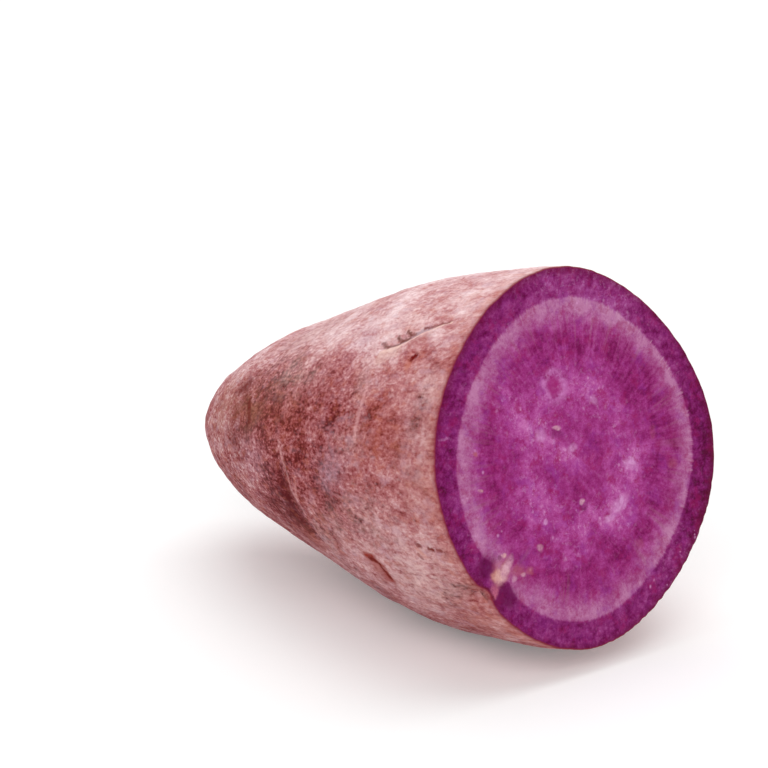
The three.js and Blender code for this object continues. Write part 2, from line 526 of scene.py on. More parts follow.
@dataclass(frozen=True)
class Cloud:
    """A soft patch of starchy haze on the cut face: its middle, half size and strength."""

    side: float
    up: float
    half: float
    strength: float


STARCH_CLOUDS = tuple(
    Cloud(side * MM, up * MM, half * MM, strength)
    for side, up, half, strength in (
        (-8, 6.4, 4.6, 1), (-2, 1.4, 3, 0.9), (-1, 13.5, 3.4, 0.6),
        (4.8, 10.4, 4.4, 0.8), (10, 4, 3.6, 0.5), (12, -3.2, 3.6, 1),
        (7, -10.4, 4.6, 1), (-1, -10.6, 3.4, 0.7), (-10.4, -5.6, 4.8, 0.9),
        (-12.8, 11.4, 4, 0.8), (-5, -14.6, 3.6, 0.6), (13, 25.5, 7, 0.35),
        (1, 29.5, 6, 0.35), (19, -21.5, 5, 0.3), (6.6, 24.8, 2.4, 0.6),
        (13.4, 22, 2.2, 0.45), (19.6, 16.4, 2.2, 0.35), (23.6, 9.6, 2.2, 0.4),
        (-2, 25.6, 3, 0.25), (-11, 22.6, 3, 0.3), (-19.6, 15.4, 3, 0.3),
        (-24.2, 6.4, 2.6, 0.35), (-25.4, -1.6, 2.6, 0.55), (-23.8, -8.6, 2.6, 0.6),
        (-13, -21.4, 3, 0.3), (0, -25.6, 3, 0.15),
    )
)


@dataclass(frozen=True)
class Lobe:
    """A bell curve round the axis: where its crest is, its spread in radians and its height."""

    crest_deg: float
    spread: float
    height: float = 1.0

    def at(self, angle: Array) -> Array:
        """Height at an angle: e to the minus square of the turn over the spread."""
        turn = turn_between(angle, math.radians(self.crest_deg)) / self.spread
        return self.height * np.exp(-(turn**2))


@dataclass(frozen=True)
class FleshMap:
    """Where the flesh changes over the cut: ring, rays, haze, grit and pigment.

    A share is a distance from the middle, as a part of the radius.
    """

    ring_edge: float = 0.84
    ring_waves: tuple[Wave, ...] = (Wave(1, -144.0, 0.009), Wave(2, 41.0, 0.011), Wave(4, 26.0, 0.0035))
    pinch_deg: float = 8.0
    pinch: float = 0.06
    trace: float = 0.12
    trace_width: float = 0.4
    rays: Wave = Wave(1, 35.0, 0.4)
    rays_mean: float = 0.66
    haze_broken: float = 0.8
    haze_cell: float = 2.6 * MM
    band_width: float = 0.05
    grit_left: Lobe = Lobe(200.0, 0.75)
    grit_share: float = 0.7
    grit_low: Lobe = Lobe(296.0, 0.6)
    grit_start: tuple[float, float] = (0.84, 0.9)
    rich_right: Lobe = Lobe(-14.0, 0.65)
    rich_left: Lobe = Lobe(185.0, 1.0, 0.5)
    rich_inside: Lobe = Lobe(15.0, 0.75, 0.45)
    rich_share: float = 0.71
    rich_start: tuple[float, float] = (0.8, 0.88)

    def ring_at(self, angle: Array, notch_deg: float) -> Array:
        """Share of the radius at the pale ring's outer edge.

        A mean with low waves. It is drawn in on both sides of the rootlet's trace, and out
        along the trace itself.

        Args:
            angle: Turn about the axis.
            notch_deg: Where the trace lies.

        Returns:
            The share at each angle.
        """
        swing = turn_between(angle, math.radians(notch_deg)) / math.radians(self.pinch_deg)
        trace = self.trace * np.exp(-((swing / self.trace_width) ** 2))
        pinch = self.pinch * np.exp(-(swing**2)) - trace
        return self.ring_edge + sum(wave.at(angle) for wave in self.ring_waves) - pinch

    def clouds(self, straight: Array, noise: SpaceNoise) -> Array:
        """Starchy haze in the flesh: a sum of soft round patches, broken up by noise.

        Args:
            straight: Places with the axis unbent.
            noise: The field that breaks it up.

        Returns:
            The haze at each place, 0 to 1.
        """
        haze = np.zeros(straight.shape[:-1])
        for cloud in STARCH_CLOUDS:
            gap = (straight[..., 1] - cloud.side) ** 2 + (straight[..., 2] - cloud.up) ** 2
            haze += cloud.strength * np.exp(-gap / cloud.half**2)
        return np.clip(haze * (1.0 + self.haze_broken * noise(straight, self.haze_cell)), 0.0, 1.0)

    def grit(self, angle: Array, share: Array) -> Array:
        """Where pale grains lie in the flesh.

        A band inside the ring on its left and lower side, and the cortex at the lower right.
        """
        inner = self.grit_left.at(angle) * np.exp(-(((share - self.grit_share) / self.band_width) ** 2))
        return np.clip(inner + self.grit_low.at(angle) * fade(share, *self.grit_start), 0.0, 1.0)

    def rich(self, angle: Array, share: Array) -> Array:
        """Where the flesh holds more pigment.

        The cortex does on its right side most, on its left side less, and so does a band
        inside the ring on the right.
        """
        inner = self.rich_inside.at(angle) * np.exp(-(((share - self.rich_share) / self.band_width) ** 2))
        return (self.rich_right.at(angle) + self.rich_left.at(angle)) * fade(share, *self.rich_start) + inner


@dataclass(frozen=True)
class SkinMap:
    """How dust and stains lie over the skin, and the painted overhead light that makes its top paler.

    A pair is the height of a noise and the size of its grain.
    """

    dust_mean: float = 0.5
    # Painted overhead light: how much paler the top is made, and with the next three, where that paleness
    # lies.
    top_light: float = 0.3
    top_light_turn: float = 0.3
    top_light_from: float = -0.1
    top_light_to: float = 0.9
    drifts: tuple[float, float] = (0.2, 13 * MM)
    small_drifts: tuple[float, float] = (0.12, 5 * MM)
    dust_grain: tuple[float, float] = (0.1, 1.8 * MM)
    grain_stretch: float = 2.5
    stain_blots: tuple[float, float] = (0.55, 3.2 * MM)
    stain_grain: tuple[float, float] = (0.35, 1.5 * MM)
    edge_reach: float = 0.35 * MM
    cork_reach: float = 0.03


# ---------------------------------------------------------------- the edge and the surface


@dataclass(frozen=True)
class Rim:
    """What the knife left along the edge of the cut: a pinch, a rootlet's trace and tears."""

    rounding: float = 0.25 * MM
    notch_deg: float = 217.0
    notch_spread_deg: float = 4.2
    notch_depth: float = 1.1 * MM
    notch_reach: float = 4.0 * MM
    torn_from_deg: float = 262.0
    torn_to_deg: float = 352.0
    torn_height: float = 0.22 * MM
    torn_pitch: float = 1.0 * MM
    torn_reach: float = 1.2 * MM
    torn_fade: float = 0.3

    def dent(self, angle: Array, along: Array) -> Array:
        """Depth of the pinch at the rootlet's trace: a bell round it, fading from the cut."""
        swing = turn_between(angle, math.radians(self.notch_deg)) / math.radians(self.notch_spread_deg)
        return self.notch_depth * np.exp(-(swing**2) - (along / self.notch_reach) ** 2)

    def tears(self, angle: Array, along: Array, points: Array, noise: SpaceNoise) -> Array:
        """Small bumps along the lower right of the rim, which fade away from the cut.

        Args:
            angle: Turn about the axis.
            along: Way along the axis.
            points: Places on the surface.
            noise: The field that the bumps follow.

        Returns:
            Their height at each place.
        """
        start, end = math.radians(self.torn_from_deg), math.radians(self.torn_to_deg)
        turned = np.mod(angle, math.tau)
        within = fade(turned, start, start + self.torn_fade)
        within *= 1.0 - fade(turned, end - self.torn_fade, end)
        bumps = noise(points, self.torn_pitch)
        return self.torn_height * within * bumps * np.exp(-along / self.torn_reach)


class Part(IntEnum):
    """The surface's finishes, in the order of the mesh's material slots."""

    SKIN = 0
    FLESH = 1


@dataclass(frozen=True)
class Surface:
    """Rows and columns of the closed surface, from the middle of the cut to the scar's.

    Each row has a way along the axis and a share of the outline. The columns go once round.
    The two poles are left out of the rows and close the surface as one vertex each.
    """

    form: RootForm
    rim: Rim
    columns: int = 480
    face_rows: int = 36
    rim_rows: int = 4
    skin_rows: int = 154
    scar_rows: int = 11
    arc_steps: int = 800

    def along_and_share(self) -> tuple[Array, Array, Array]:
        """Work out the profile, row by row.

        The face's rows run out to the rim at equal steps. The rim turns a quarter circle.
        The skin's rows follow the taper at equal lengths of arc, and the scar's rows follow
        a low dome, a quarter turn of an ellipse, to the axis.

        Returns:
            For each row, the way along the axis, the share of the outline, and how far the
            rim's rounding takes the row in from it.
        """
        form, rounding = self.form, self.rim.rounding
        face = np.linspace(0.0, 1.0, self.face_rows + 1)[1:]
        quarter = np.linspace(0.0, math.pi / 2, self.rim_rows + 1)[1:]
        run = form.scar_station * np.sin(np.linspace(0.0, math.pi / 2, self.arc_steps))
        steps = np.hypot(np.diff(run * form.axis_length), np.diff(form.taper(run) * form.cut_width / 2))
        arc = np.concatenate(([0.0], np.cumsum(steps)))
        even = np.linspace(rounding * 2.0, arc[-1], self.skin_rows)
        station = np.interp(even, arc, run)
        dome = np.linspace(0.0, math.pi / 2, self.scar_rows + 2)[1:-1]
        scar = form.scar_station * form.axis_length
        along = np.concatenate(
            (
                np.zeros(self.face_rows),
                rounding * (1.0 - np.cos(quarter)),
                station * form.axis_length,
                scar + form.scar_dome * np.sin(dome),
            )
        )
        share = np.concatenate(
            (face, np.ones(self.rim_rows), form.taper(station), form.taper(form.scar_station) * np.cos(dome))
        )
        inset = np.zeros(len(along))
        inset[: self.face_rows] = rounding
        inset[self.face_rows : self.face_rows + self.rim_rows] = rounding * (1.0 - np.sin(quarter))
        return along, share, inset

    @property
    def skin_from(self) -> int:
        """Index of the first row past the rim's rounding."""
        return self.face_rows + self.rim_rows

    @property
    def scar_from(self) -> int:
        """Index of the scar's first row."""
        return self.skin_from + self.skin_rows


def outward(points: Array, poles: tuple[Array, Array]) -> Array:
    """Normals of the grid of places, from the ways to each place's four neighbours.

    Args:
        points: Places, with rows along the root and columns round it.
        poles: The places that close the first and last rows.

    Returns:
        Unit vectors that point out of the root.
    """
    start, end = (np.broadcast_to(pole, points[:1].shape) for pole in poles)
    padded = np.concatenate((start, points, end))
    down = padded[2:] - padded[:-2]
    across = np.roll(points, -1, axis=1) - np.roll(points, 1, axis=1)
    normal = np.cross(down, across)
    return normal / np.linalg.norm(normal, axis=-1, keepdims=True)


@dataclass(frozen=True)
class Relief:
    """Heights and grain sizes of the fine relief of the skin and the cut face."""

    broad: tuple[float, float] = (0.35 * MM, 15 * MM)
    middle: tuple[float, float] = (0.13 * MM, 5.0 * MM)
    fine: tuple[float, float] = (0.075 * MM, 1.4 * MM)
    furrow: tuple[float, float] = (0.09 * MM, 2.2 * MM)
    near_cut: float = 0.35
    near_cut_reach: float = 14 * MM
    furrow_stretch: float = 4.5
    face: tuple[float, float] = (0.05 * MM, 3.0 * MM)
    ripple_cell: float = 1.8 * MM
    edge_power: int = 8
    face_power: int = 6
    cork: tuple[float, float] = (0.35 * MM, 1.6 * MM)
    cork_reach: float = 0.05
    pucker: float = 0.3 * MM
    pucker_count: int = 9


class SweetPotatoHalf:
    """The cut half: its mesh, its surface attributes and its two finishes."""

    SEEDS = (11, 12, 13)

    def __init__(self, form: RootForm, rim: Rim, relief: Relief, node: str) -> None:
        """Take the sizes, and work out where the form lies from its solid's box.

        Args:
            form: The smooth form.
            rim: The edge of the cut.
            relief: The fine relief.
            node: Name of the solid that the piece stands for.
        """
        self.form, self.rim, self.relief = form, rim, relief
        self.surface = Surface(form, rim)
        self.node = node
        self.flesh, self.skin = FleshMap(), SkinMap()
        self.broad, self.small, self.patch = (SpaceNoise(seed) for seed in self.SEEDS)
        low, high = (np.array(corner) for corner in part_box(node))
        smooth = self._smooth_places()[0]
        lowest, highest = smooth.min(axis=(0, 1)), smooth.max(axis=(0, 1))
        self.size = float((high[0] - low[0]) / (highest[0] - lowest[0]))
        middle = (low + high) / 2 - self.size * (lowest + highest) / 2
        rest = low[2] - self.size * (lowest[2] + form.rest_depth)
        self.offset = np.array([middle[0], middle[1], rest])
        self.floor = float(low[2])

    def settle(self, points: Array) -> Array:
        """Move places from the form's own frame to where the root lies."""
        return points * self.size + self.offset

    @property
    def cut_middle(self) -> Vector:
        """Middle of the cut face."""
        return Vector(self.settle(np.zeros(3)))

    def _smooth_places(self, rise: Array | float = 0.0) -> tuple[Array, Array, Array, Array]:
        """Places of the smooth form on the whole grid.

        Args:
            rise: Extra radius, for each row and column.

        Returns:
            The places, and the way along, the angle and the radius of each.
        """
        along, share, inset = self.surface.along_and_share()
        around = np.linspace(0.0, math.tau, self.surface.columns, endpoint=False)
        along, angle = np.meshgrid(along, around, indexing="ij")
        outline = self.form.outline(along / self.form.axis_length, angle)
        radius = share[:, None] * (outline - inset[:, None]) + rise
        return self.form.place(along, angle, radius), along, angle, radius

    def _poles(self, heights: tuple[float, float] = (0.0, 0.0)) -> tuple[Array, Array]:
        """Places of the two closing vertices.

        Args:
            heights: How far the first and the last are raised.

        Returns:
            The two places.
        """
        end = self.form.scar_station * self.form.axis_length + self.form.scar_dome
        start = self.form.place(np.array(-heights[0]), np.array(0.0), np.array(0.0))
        return start, self.form.place(np.array(end + heights[1]), np.array(0.0), np.array(0.0))

    def _skin_relief(self, points: Array, along: Array, angle: Array, radius: Array) -> Array:
        """Height of the skin over the smooth form.

        Noise at four grain sizes, one of them drawn out along the axis, less each groove and
        plus each ridge, less the pinch at the rim, plus the rim's tears.

        Args:
            points: Places on the smooth form.
            along: Way along the axis at each.
            angle: Turn about the axis at each.
            radius: Distance from the axis at each.

        Returns:
            The height at each place.
        """
        look = self.relief
        straight = self.form.straight(along, angle, radius)
        stretched = np.array([look.furrow_stretch, 1.0, 1.0]) * look.furrow[1]
        height = look.broad[0] * self.broad(points, look.broad[1])
        height += look.middle[0] * self.small(points, look.middle[1])
        height *= look.near_cut + (1.0 - look.near_cut) * fade(along, 0.0, look.near_cut_reach)
        height += look.fine[0] * self.patch(points, look.fine[1])
        height += look.furrow[0] * self.small(straight, stretched)
        ripple = self.patch(points, look.ripple_cell)
        for fold in FOLDS:
            height -= fold.depth * fold.nearness(self.form, points, ripple)
        height -= self.rim.dent(angle, along)
        return height + self.rim.tears(angle, along, points, self.patch)

    def _scar_relief(self, points: Array, along: Array, angle: Array) -> Array:
        """Cork on and round the scar: rough grain and shallow puckers that run in to it.

        Args:
            points: Places on the surface.
            along: Way along the axis at each.
            angle: Turn about the axis at each.

        Returns:
            The height at each place.
        """
        look, form = self.relief, self.form
        way = fade(along / form.axis_length, form.scar_station - look.cork_reach, form.scar_station)
        grain = look.cork[0] * self.patch(points, look.cork[1])
        puckers = -look.pucker * np.abs(np.sin(angle * look.pucker_count / 2))
        close = np.clip(way * (1.0 - way) * 4.0, 0.0, 1.0)
        return way * grain + close * puckers

    def places(self) -> dict[str, Array]:
        """Work out the finished surface.

        The rim's own height moves the outer part of the face in or out with it, so the edge
        stays whole. Skin and face then move along their normals, and what would lie under
        the resting level is set flat on it.

        Returns:
            The places, the two poles, and the along, angle and radius fields.
        """
        first, look = self.surface.skin_from, self.relief
        smooth, along, angle, radius = self._smooth_places()
        relief = self._skin_relief(smooth, along, angle, radius)
        _, share, _ = self.surface.along_and_share()
        edge = np.where(share[:, None] < 1.0, share[:, None] ** look.edge_power, 1.0) * relief[first]
        rise = np.where(np.arange(len(share))[:, None] < first, edge, 0.0)
        points, along, angle, radius = self._smooth_places(rise)
        face = self.surface.face_rows
        relief[:first] = look.face[0] * self.small(points[:first], look.face[1])
        relief[:face] *= 1.0 - share[:face, None] ** look.face_power
        relief[face:first] = 0.0
        relief += self._scar_relief(points, along, angle)
        poles = self._poles((float(relief[0].mean()), float(relief[-1].mean())))
        points = points + relief[..., None] * outward(points, self._poles())
        settled = self.settle(points)
        settled[..., 2] = np.maximum(settled[..., 2], self.floor)
        ends = np.stack([self.settle(pole) for pole in poles])
        return {"grid": settled, "poles": ends, "along": along, "angle": angle, "radius": radius}

    # ----------------------------------------------------------------- surface attributes

    def looks(self, made: dict[str, Array]) -> dict[str, Array]:
        """Fields that the finishes read, one value or vector for each place of the grid.

        Args:
            made: The fields from places().

        Returns:
            Attribute names, and their values with rows and columns first.
        """
        along, angle, radius = made["along"], made["angle"], made["radius"]
        form, first = self.form, self.surface.skin_from
        points = form.place(along, angle, radius)
        straight = form.straight(along, angle, radius)
        share = np.where(np.arange(len(along))[:, None] < first, radius / radius[first - 1], 1.0)
        flesh, skin, station = self.flesh, self.skin, along / form.axis_length
        ring = share * flesh.ring_edge / flesh.ring_at(angle, self.rim.notch_deg)
        fields = {
            "cut_plane": np.stack((straight[..., 1], straight[..., 2], ring), axis=-1),
            "cut_way": np.stack((np.cos(angle), np.sin(angle), share), axis=-1),
            "straight": straight,
            "cloud": flesh.clouds(straight, self.patch),
            "grit": flesh.grit(angle, share),
            "rich": flesh.rich(angle, share),
            "rayed": flesh.rays_mean + flesh.rays.at(angle),
            "edge": np.exp(-np.maximum(along, 0.0) / skin.edge_reach),
            "cork": fade(station, form.scar_station - skin.cork_reach, form.scar_station),
            # Real dust drifts together with the painted overhead light on the top.
            "dust_and_top_light": self._dust_and_top_light(points, straight, angle),
        }
        blotchy = 1.0 + skin.stain_blots[0] * self.patch(points, skin.stain_blots[1])
        blotchy += skin.stain_grain[0] * self.small(points, skin.stain_grain[1])
        for tint in Tint:
            patches = (stain.amount(form, along, angle, radius) for stain in STAINS[tint])
            fields[tint.value] = np.clip(sum(patches) * blotchy, 0.0, 1.0)
        return fields

    def _dust_and_top_light(self, points: Array, straight: Array, angle: Array) -> Array:
        """Dry dust on the skin in broad soft drifts, plus painted overhead light that makes the top paler
        than the flanks.

        Args:
            points: Places on the surface.
            straight: The same with the axis unbent.
            angle: Turn about the axis at each.

        Returns:
            The dust at each place, 0 to 1.
        """
        look = self.skin
        # Painted overhead light: the top is made paler, as if lit from above.
        top = fade(np.sin(angle + look.top_light_turn), look.top_light_from, look.top_light_to)
        drifts = look.drifts[0] * self.broad(points, look.drifts[1])
        drifts += look.small_drifts[0] * self.small(points, look.small_drifts[1])
        cell = np.array([look.grain_stretch, 1.0, 1.0]) * look.dust_grain[1]
        grain = look.dust_grain[0] * self.patch(straight, cell)
        return np.clip(look.dust_mean + look.top_light * top + drifts + grain, 0.0, 1.0)

    # ---------------------------------------------------------------------------- mesh

    def _faces(self) -> tuple[Array, Array]:
        """Join neighbouring places into faces.

        Returns:
            Corner indexes of the quads between rows, and of the triangles at the two poles.
        """
        rows, columns = self.surface.scar_from + self.surface.scar_rows, self.surface.columns
        index = np.arange(rows * columns).reshape(rows, columns)
        here, after = index[:-1], np.roll(index, -1, axis=1)[:-1]
        below, after_below = index[1:], np.roll(index, -1, axis=1)[1:]
        quads = np.stack((here, below, after_below, after), axis=-1).reshape(-1, 4)
        start, end = rows * columns, rows * columns + 1
        first, last = index[0], index[-1]
        head = np.stack((np.full(columns, start), first, np.roll(first, -1)), axis=-1)
        tail = np.stack((np.full(columns, end), np.roll(last, -1), last), axis=-1)
        return quads, np.concatenate((head, tail))

    def _map(self, made: dict[str, Array]) -> Array:
        """Map coordinates for every face corner, in the order of the faces.

        The cut face is a disc at one corner of the map, and the skin is one sheet: the turn
        about the axis goes across it and the length of arc goes up it.

        Args:
            made: The fields from places().

        Returns:
            Two numbers for each corner.
        """
        face, rows = self.surface.face_rows, len(made["along"])
        columns = self.surface.columns
        turn = np.linspace(0.0, 1.0, columns + 1)
        step = np.hypot(np.diff(made["along"][:, 0]), np.diff(made["radius"].mean(axis=1)))
        arc = np.concatenate(([0.0], np.cumsum(step)))
        arc = (arc - arc[face - 1]) / (arc[-1] - arc[face - 1] + TIP_ROOM)
        sheet = np.stack(np.broadcast_arrays(turn[None, :], arc[:, None] * SHEET_SHARE), axis=-1)
        disc_share = made["radius"][:face] / made["radius"][face - 1].max()
        way = np.concatenate((made["angle"][:face], made["angle"][:face, :1] + math.tau), axis=1)
        disc_share = np.concatenate((disc_share, disc_share[:, :1]), axis=1)
        half = (1.0 - SHEET_SHARE - 2 * MAP_GAP) / 2
        centre = np.array([half + MAP_GAP, 1.0 - half - MAP_GAP])
        disc = centre + half * disc_share[..., None] * np.stack((np.cos(way), np.sin(way)), axis=-1)

        def quads(grid: Array) -> Array:
            """Corners of the quads between a grid's rows, in the order of the faces."""
            ring = (grid[:-1, :-1], grid[1:, :-1], grid[1:, 1:], grid[:-1, 1:])
            return np.stack(ring, axis=2).reshape(-1, 2)

        centre_row = np.broadcast_to(centre, (columns, 2))
        head = np.stack((centre_row, disc[0, :-1], disc[0, 1:]), axis=1).reshape(-1, 2)
        top = np.stack((turn[:-1] + 0.5 / columns, np.full(columns, SHEET_SHARE)), axis=-1)
        tail = np.stack((top, sheet[rows - 1, 1:], sheet[rows - 1, :-1]), axis=1).reshape(-1, 2)
        return np.concatenate((quads(disc), quads(sheet[face - 1 :]), head, tail))

    def build(self) -> bpy.types.Object:
        """Make the closed mesh, with its map, its attributes and its two finishes.

        Returns:
            The finished piece, riding on the root's body.
        """
        made = self.places()
        quads, ends = self._faces()
        vertices = np.concatenate((made["grid"].reshape(-1, 3), made["poles"]))
        mesh = bpy.data.meshes.new("sweet_potato_skin_and_flesh")
        mesh.from_pydata(vertices.tolist(), [], quads.tolist() + ends.tolist())
        cut = self.surface.face_rows - 1
        columns = self.surface.columns
        part = np.full(len(quads) + len(ends), int(Part.SKIN), dtype=np.int32)
        part[: cut * columns] = Part.FLESH
        part[len(quads) : len(quads) + columns] = Part.FLESH
        mesh.polygons.foreach_set("material_index", part)
        layer = mesh.uv_layers.new(name=BAKE_MAP)
        layer.data.foreach_set("uv", self._map(made).astype(np.float32).ravel())
        for name, values in self.looks(made).items():
            self._store(mesh, name, values)
        mesh.shade_smooth()
        mesh.validate()
        mesh.update()
        piece = bpy.data.objects.new("sweet_potato", mesh)
        bpy.context.scene.collection.objects.link(piece)
        for finish in (SkinFinish(), FleshFinish()):
            mesh.materials.append(finish.build(self.form))
        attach(piece, BODY)
        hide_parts(self.node)
        return piece

    @staticmethod
    def _store(mesh: bpy.types.Mesh, name: str, values: Array) -> None:
        """Write a field to the mesh as an attribute, with its row means at the poles.

        Args:
            mesh: The mesh to write to.
            name: The attribute's name.
            values: One value or vector for each row and column.
        """
        vector = values.ndim == 3
        ends = np.stack((values[0].mean(axis=0), values[-1].mean(axis=0)))
        flat = values.reshape(-1, 3) if vector else values.reshape(-1)
        full = np.concatenate((flat, ends)).astype(np.float32)
        attribute = mesh.attributes.new(name, "FLOAT_VECTOR" if vector else "FLOAT", "POINT")
        attribute.data.foreach_set("vector" if vector else "value", full.ravel())


# ---------------------------------------------------------------------------- the finishes


@dataclass(frozen=True)
class Grain:
    """A smooth noise in a finish.

    It has a size for its largest grains, a count of finer layers, the height of each layer
    beside the one before, factors that draw it out, a weight in the colour, and the height
    of its relief.
    """

    cell: float
    detail: float = 2.0
    rough: float = 0.5
    drawn: tuple[float, float, float] = (1.0, 1.0, 1.0)
    weight: float = 1.0
    height: float = 0.0


@dataclass(frozen=True)
class Step:
    """A smooth step of a value from low to high, and what those two become."""

    low: float
    high: float
    start: float = 0.0
    end: float = 1.0


class Bench:
    """Lays out the nodes of one material, and joins them up as they are made."""

    LINE_EDGES = (0.3, 1.5)

    def __init__(self, name: str) -> None:
        """Start an empty node material.

        Args:
            name: The material's name.
        """
        self.material = bpy.data.materials.new(name)
        self.material.use_nodes = True
        self.tree = self.material.node_tree
        self.tree.nodes.clear()

    def add(
        self, kind: str, feeds: dict[int | str, object] | None = None, **options: object
    ) -> bpy.types.Node:
        """Add a node.

        Args:
            kind: The node's type.
            feeds: What each named or numbered input takes, a socket or a plain value.
            **options: Settings of the node itself.

        Returns:
            The new node.
        """
        node = self.tree.nodes.new(kind)
        for option, value in options.items():
            setattr(node, option, value)
        for key, value in (feeds or {}).items():
            if isinstance(value, bpy.types.NodeSocket):
                self.tree.links.new(value, node.inputs[key])
            else:
                node.inputs[key].default_value = value
        return node

    def read(self, name: str) -> bpy.types.Node:
        """Read one of the mesh's own attributes."""
        return self.add("ShaderNodeAttribute", attribute_name=name)

    def amount(self, name: str) -> Socket:
        """Read an attribute that holds one value."""
        return self.read(name).outputs["Fac"]

    def vector(self, name: str) -> Socket:
        """Read an attribute that holds a vector."""
        return self.read(name).outputs["Vector"]

    def sum(self, operation: str, *values: object) -> Socket:
        """Do one sum on numbers or sockets, with Blender's name for the operation."""
        node = self.add("ShaderNodeMath", dict(enumerate(values)), operation=operation)
        return node.outputs[0]

    def times(self, *values: object) -> Socket:
        """Multiply two numbers or sockets."""
        return self.sum("MULTIPLY", *values)

    def scaled(self, vector: Socket, *factors: float) -> Socket:
        """Multiply a vector by three factors."""
        return self.on_vectors("MULTIPLY", vector, factors).outputs["Vector"]

    def on_vectors(self, operation: str, *values: object) -> bpy.types.Node:
        """Do one sum on vectors, with Blender's name for the operation."""
        return self.add("ShaderNodeVectorMath", dict(enumerate(values)), operation=operation)

    def noise(self, vector: Socket, grain: Grain) -> Socket:
        """Read a grain's smooth noise, whose values lie about 0.5.

        Args:
            vector: Where to read it, in the unit of the grain's size.
            grain: The noise's grain.

        Returns:
            The noise's value.
        """
        if grain.drawn != (1.0, 1.0, 1.0):
            vector = self.scaled(vector, *grain.drawn)
        feeds = {
            "Vector": vector,
            "Scale": 1.0 / grain.cell,
            "Detail": grain.detail,
            "Roughness": grain.rough,
        }
        return self.add("ShaderNodeTexNoise", feeds).outputs["Fac"]

    def band(self, value: Socket, step: Step) -> Socket:
        """Carry a value over a smooth step."""
        feeds = {0: value, 1: step.low, 2: step.high, 3: step.start, 4: step.end}
        return self.add("ShaderNodeMapRange", feeds, interpolation_type="SMOOTHSTEP", clamp=False).outputs[0]

    def mixed(self, base: object, *parts: tuple[Socket, object]) -> Socket:
        """Add to a base each of some noises, less its mean of a half, times its weight.

        Args:
            base: What they are added to.
            *parts: Each noise with its weight.

        Returns:
            The total.
        """
        total = base
        for field, weight in parts:
            total = self.sum("MULTIPLY_ADD", self.sum("SUBTRACT", field, 0.5), weight, total)
        return total

    def blend(self, share: object, under: object, over: object) -> Socket:
        """Lay one colour over another.

        Args:
            share: How much of the upper colour shows.
            under: The lower colour.
            over: The upper colour.

        Returns:
            The mixed colour.
        """
        node = self.add("ShaderNodeMix", {0: share, 6: under, 7: over}, data_type="RGBA")
        return node.outputs[2]

    def ramp(self, value: Socket, stops: Stops) -> Socket:
        """Read a colour from a row of stops.

        Args:
            value: Place along the row, 0 to 1.
            stops: Places and colours, in order.

        Returns:
            The colour.
        """
        node = self.add("ShaderNodeValToRGB", {0: value})
        elements = node.color_ramp.elements
        elements[0].position, elements[0].color = stops[0]
        elements[1].position, elements[1].color = stops[-1]
        for place, colour in stops[1:-1]:
            elements.new(place).color = colour
        return node.outputs["Color"]

    def blot(
        self,
        vector: Socket,
        middle: tuple[float, float],
        half: tuple[float, float],
        turn_deg: float = 0.0,
    ) -> Socket:
        """Nearness to an oval's middle, in the plane of a vector's first two parts.

        Args:
            vector: Where to read it.
            middle: The oval's middle.
            half: Its half sizes.
            turn_deg: How far its first axis is turned.

        Returns:
            1 at the middle, falling evenly to 0 at the oval's edge.
        """
        feeds = {
            "Vector": vector,
            "Location": (*middle, 0.0),
            "Rotation": (0.0, 0.0, math.radians(turn_deg)),
            "Scale": (*half, 1.0),
        }
        place = self.add("ShaderNodeMapping", feeds, vector_type="TEXTURE").outputs[0]
        reach = self.on_vectors("LENGTH", place).outputs["Value"]
        return self.sum("MAXIMUM", self.sum("SUBTRACT", 1.0, reach), 0.0)

    def ragged(self, vector: Socket, cell: float, push: float) -> Socket:
        """Push places about by noise, so that what is drawn on them is uneven.

        Args:
            vector: The places.
            cell: Size of the noise's largest grains.
            push: How far it moves a place, at most, from one side to the other.

        Returns:
            The moved places.
        """
        field = self.add("ShaderNodeTexNoise", {"Vector": vector, "Scale": 1.0 / cell, "Detail": 2.0})
        centred = self.on_vectors("SUBTRACT", field.outputs["Color"], (0.5, 0.5, 0.5)).outputs[0]
        return self.on_vectors("MULTIPLY_ADD", centred, (push, push, push), vector).outputs[0]

    def line(self, vector: Socket, route: Array, half_width: float) -> Socket:
        """Nearness to a line through places.

        The nearest place of each stretch is its start plus its run times a share, the dot
        product of the way from the start with the run, over the run's length squared.

        Args:
            vector: Where to read it.
            route: The places that the line goes through, one row each.
            half_width: Half of the line's width.

        Returns:
            1 inside the line, falling softly to 0 a little past its edge.
        """
        nearest = 1.0
        for start, end in zip(route, route[1:] if len(route) > 1 else route):
            run = end - start
            slope = run / max(float(run @ run), 1e-12)
            away = self.on_vectors("SUBTRACT", vector, start.tolist()).outputs[0]
            dot = self.on_vectors("DOT_PRODUCT", away, slope.tolist())
            share = self.sum("MAXIMUM", self.sum("MINIMUM", dot.outputs["Value"], 1.0), 0.0)
            feeds = {0: run.tolist(), "Scale": share}
            foot = self.add("ShaderNodeVectorMath", feeds, operation="SCALE").outputs[0]
            gap = self.on_vectors("DISTANCE", away, foot)
            nearest = self.sum("MINIMUM", gap.outputs["Value"], nearest)
        inner, outer = (edge * half_width for edge in self.LINE_EDGES)
        return self.band(nearest, Step(inner, outer, 1.0, 0.0))

    def bump(self, height: Socket) -> Socket:
        """Tilt the normal by a height in metres."""
        feeds = {"Height": height, "Distance": 1.0, "Strength": 1.0}
        return self.add("ShaderNodeBump", feeds).outputs["Normal"]

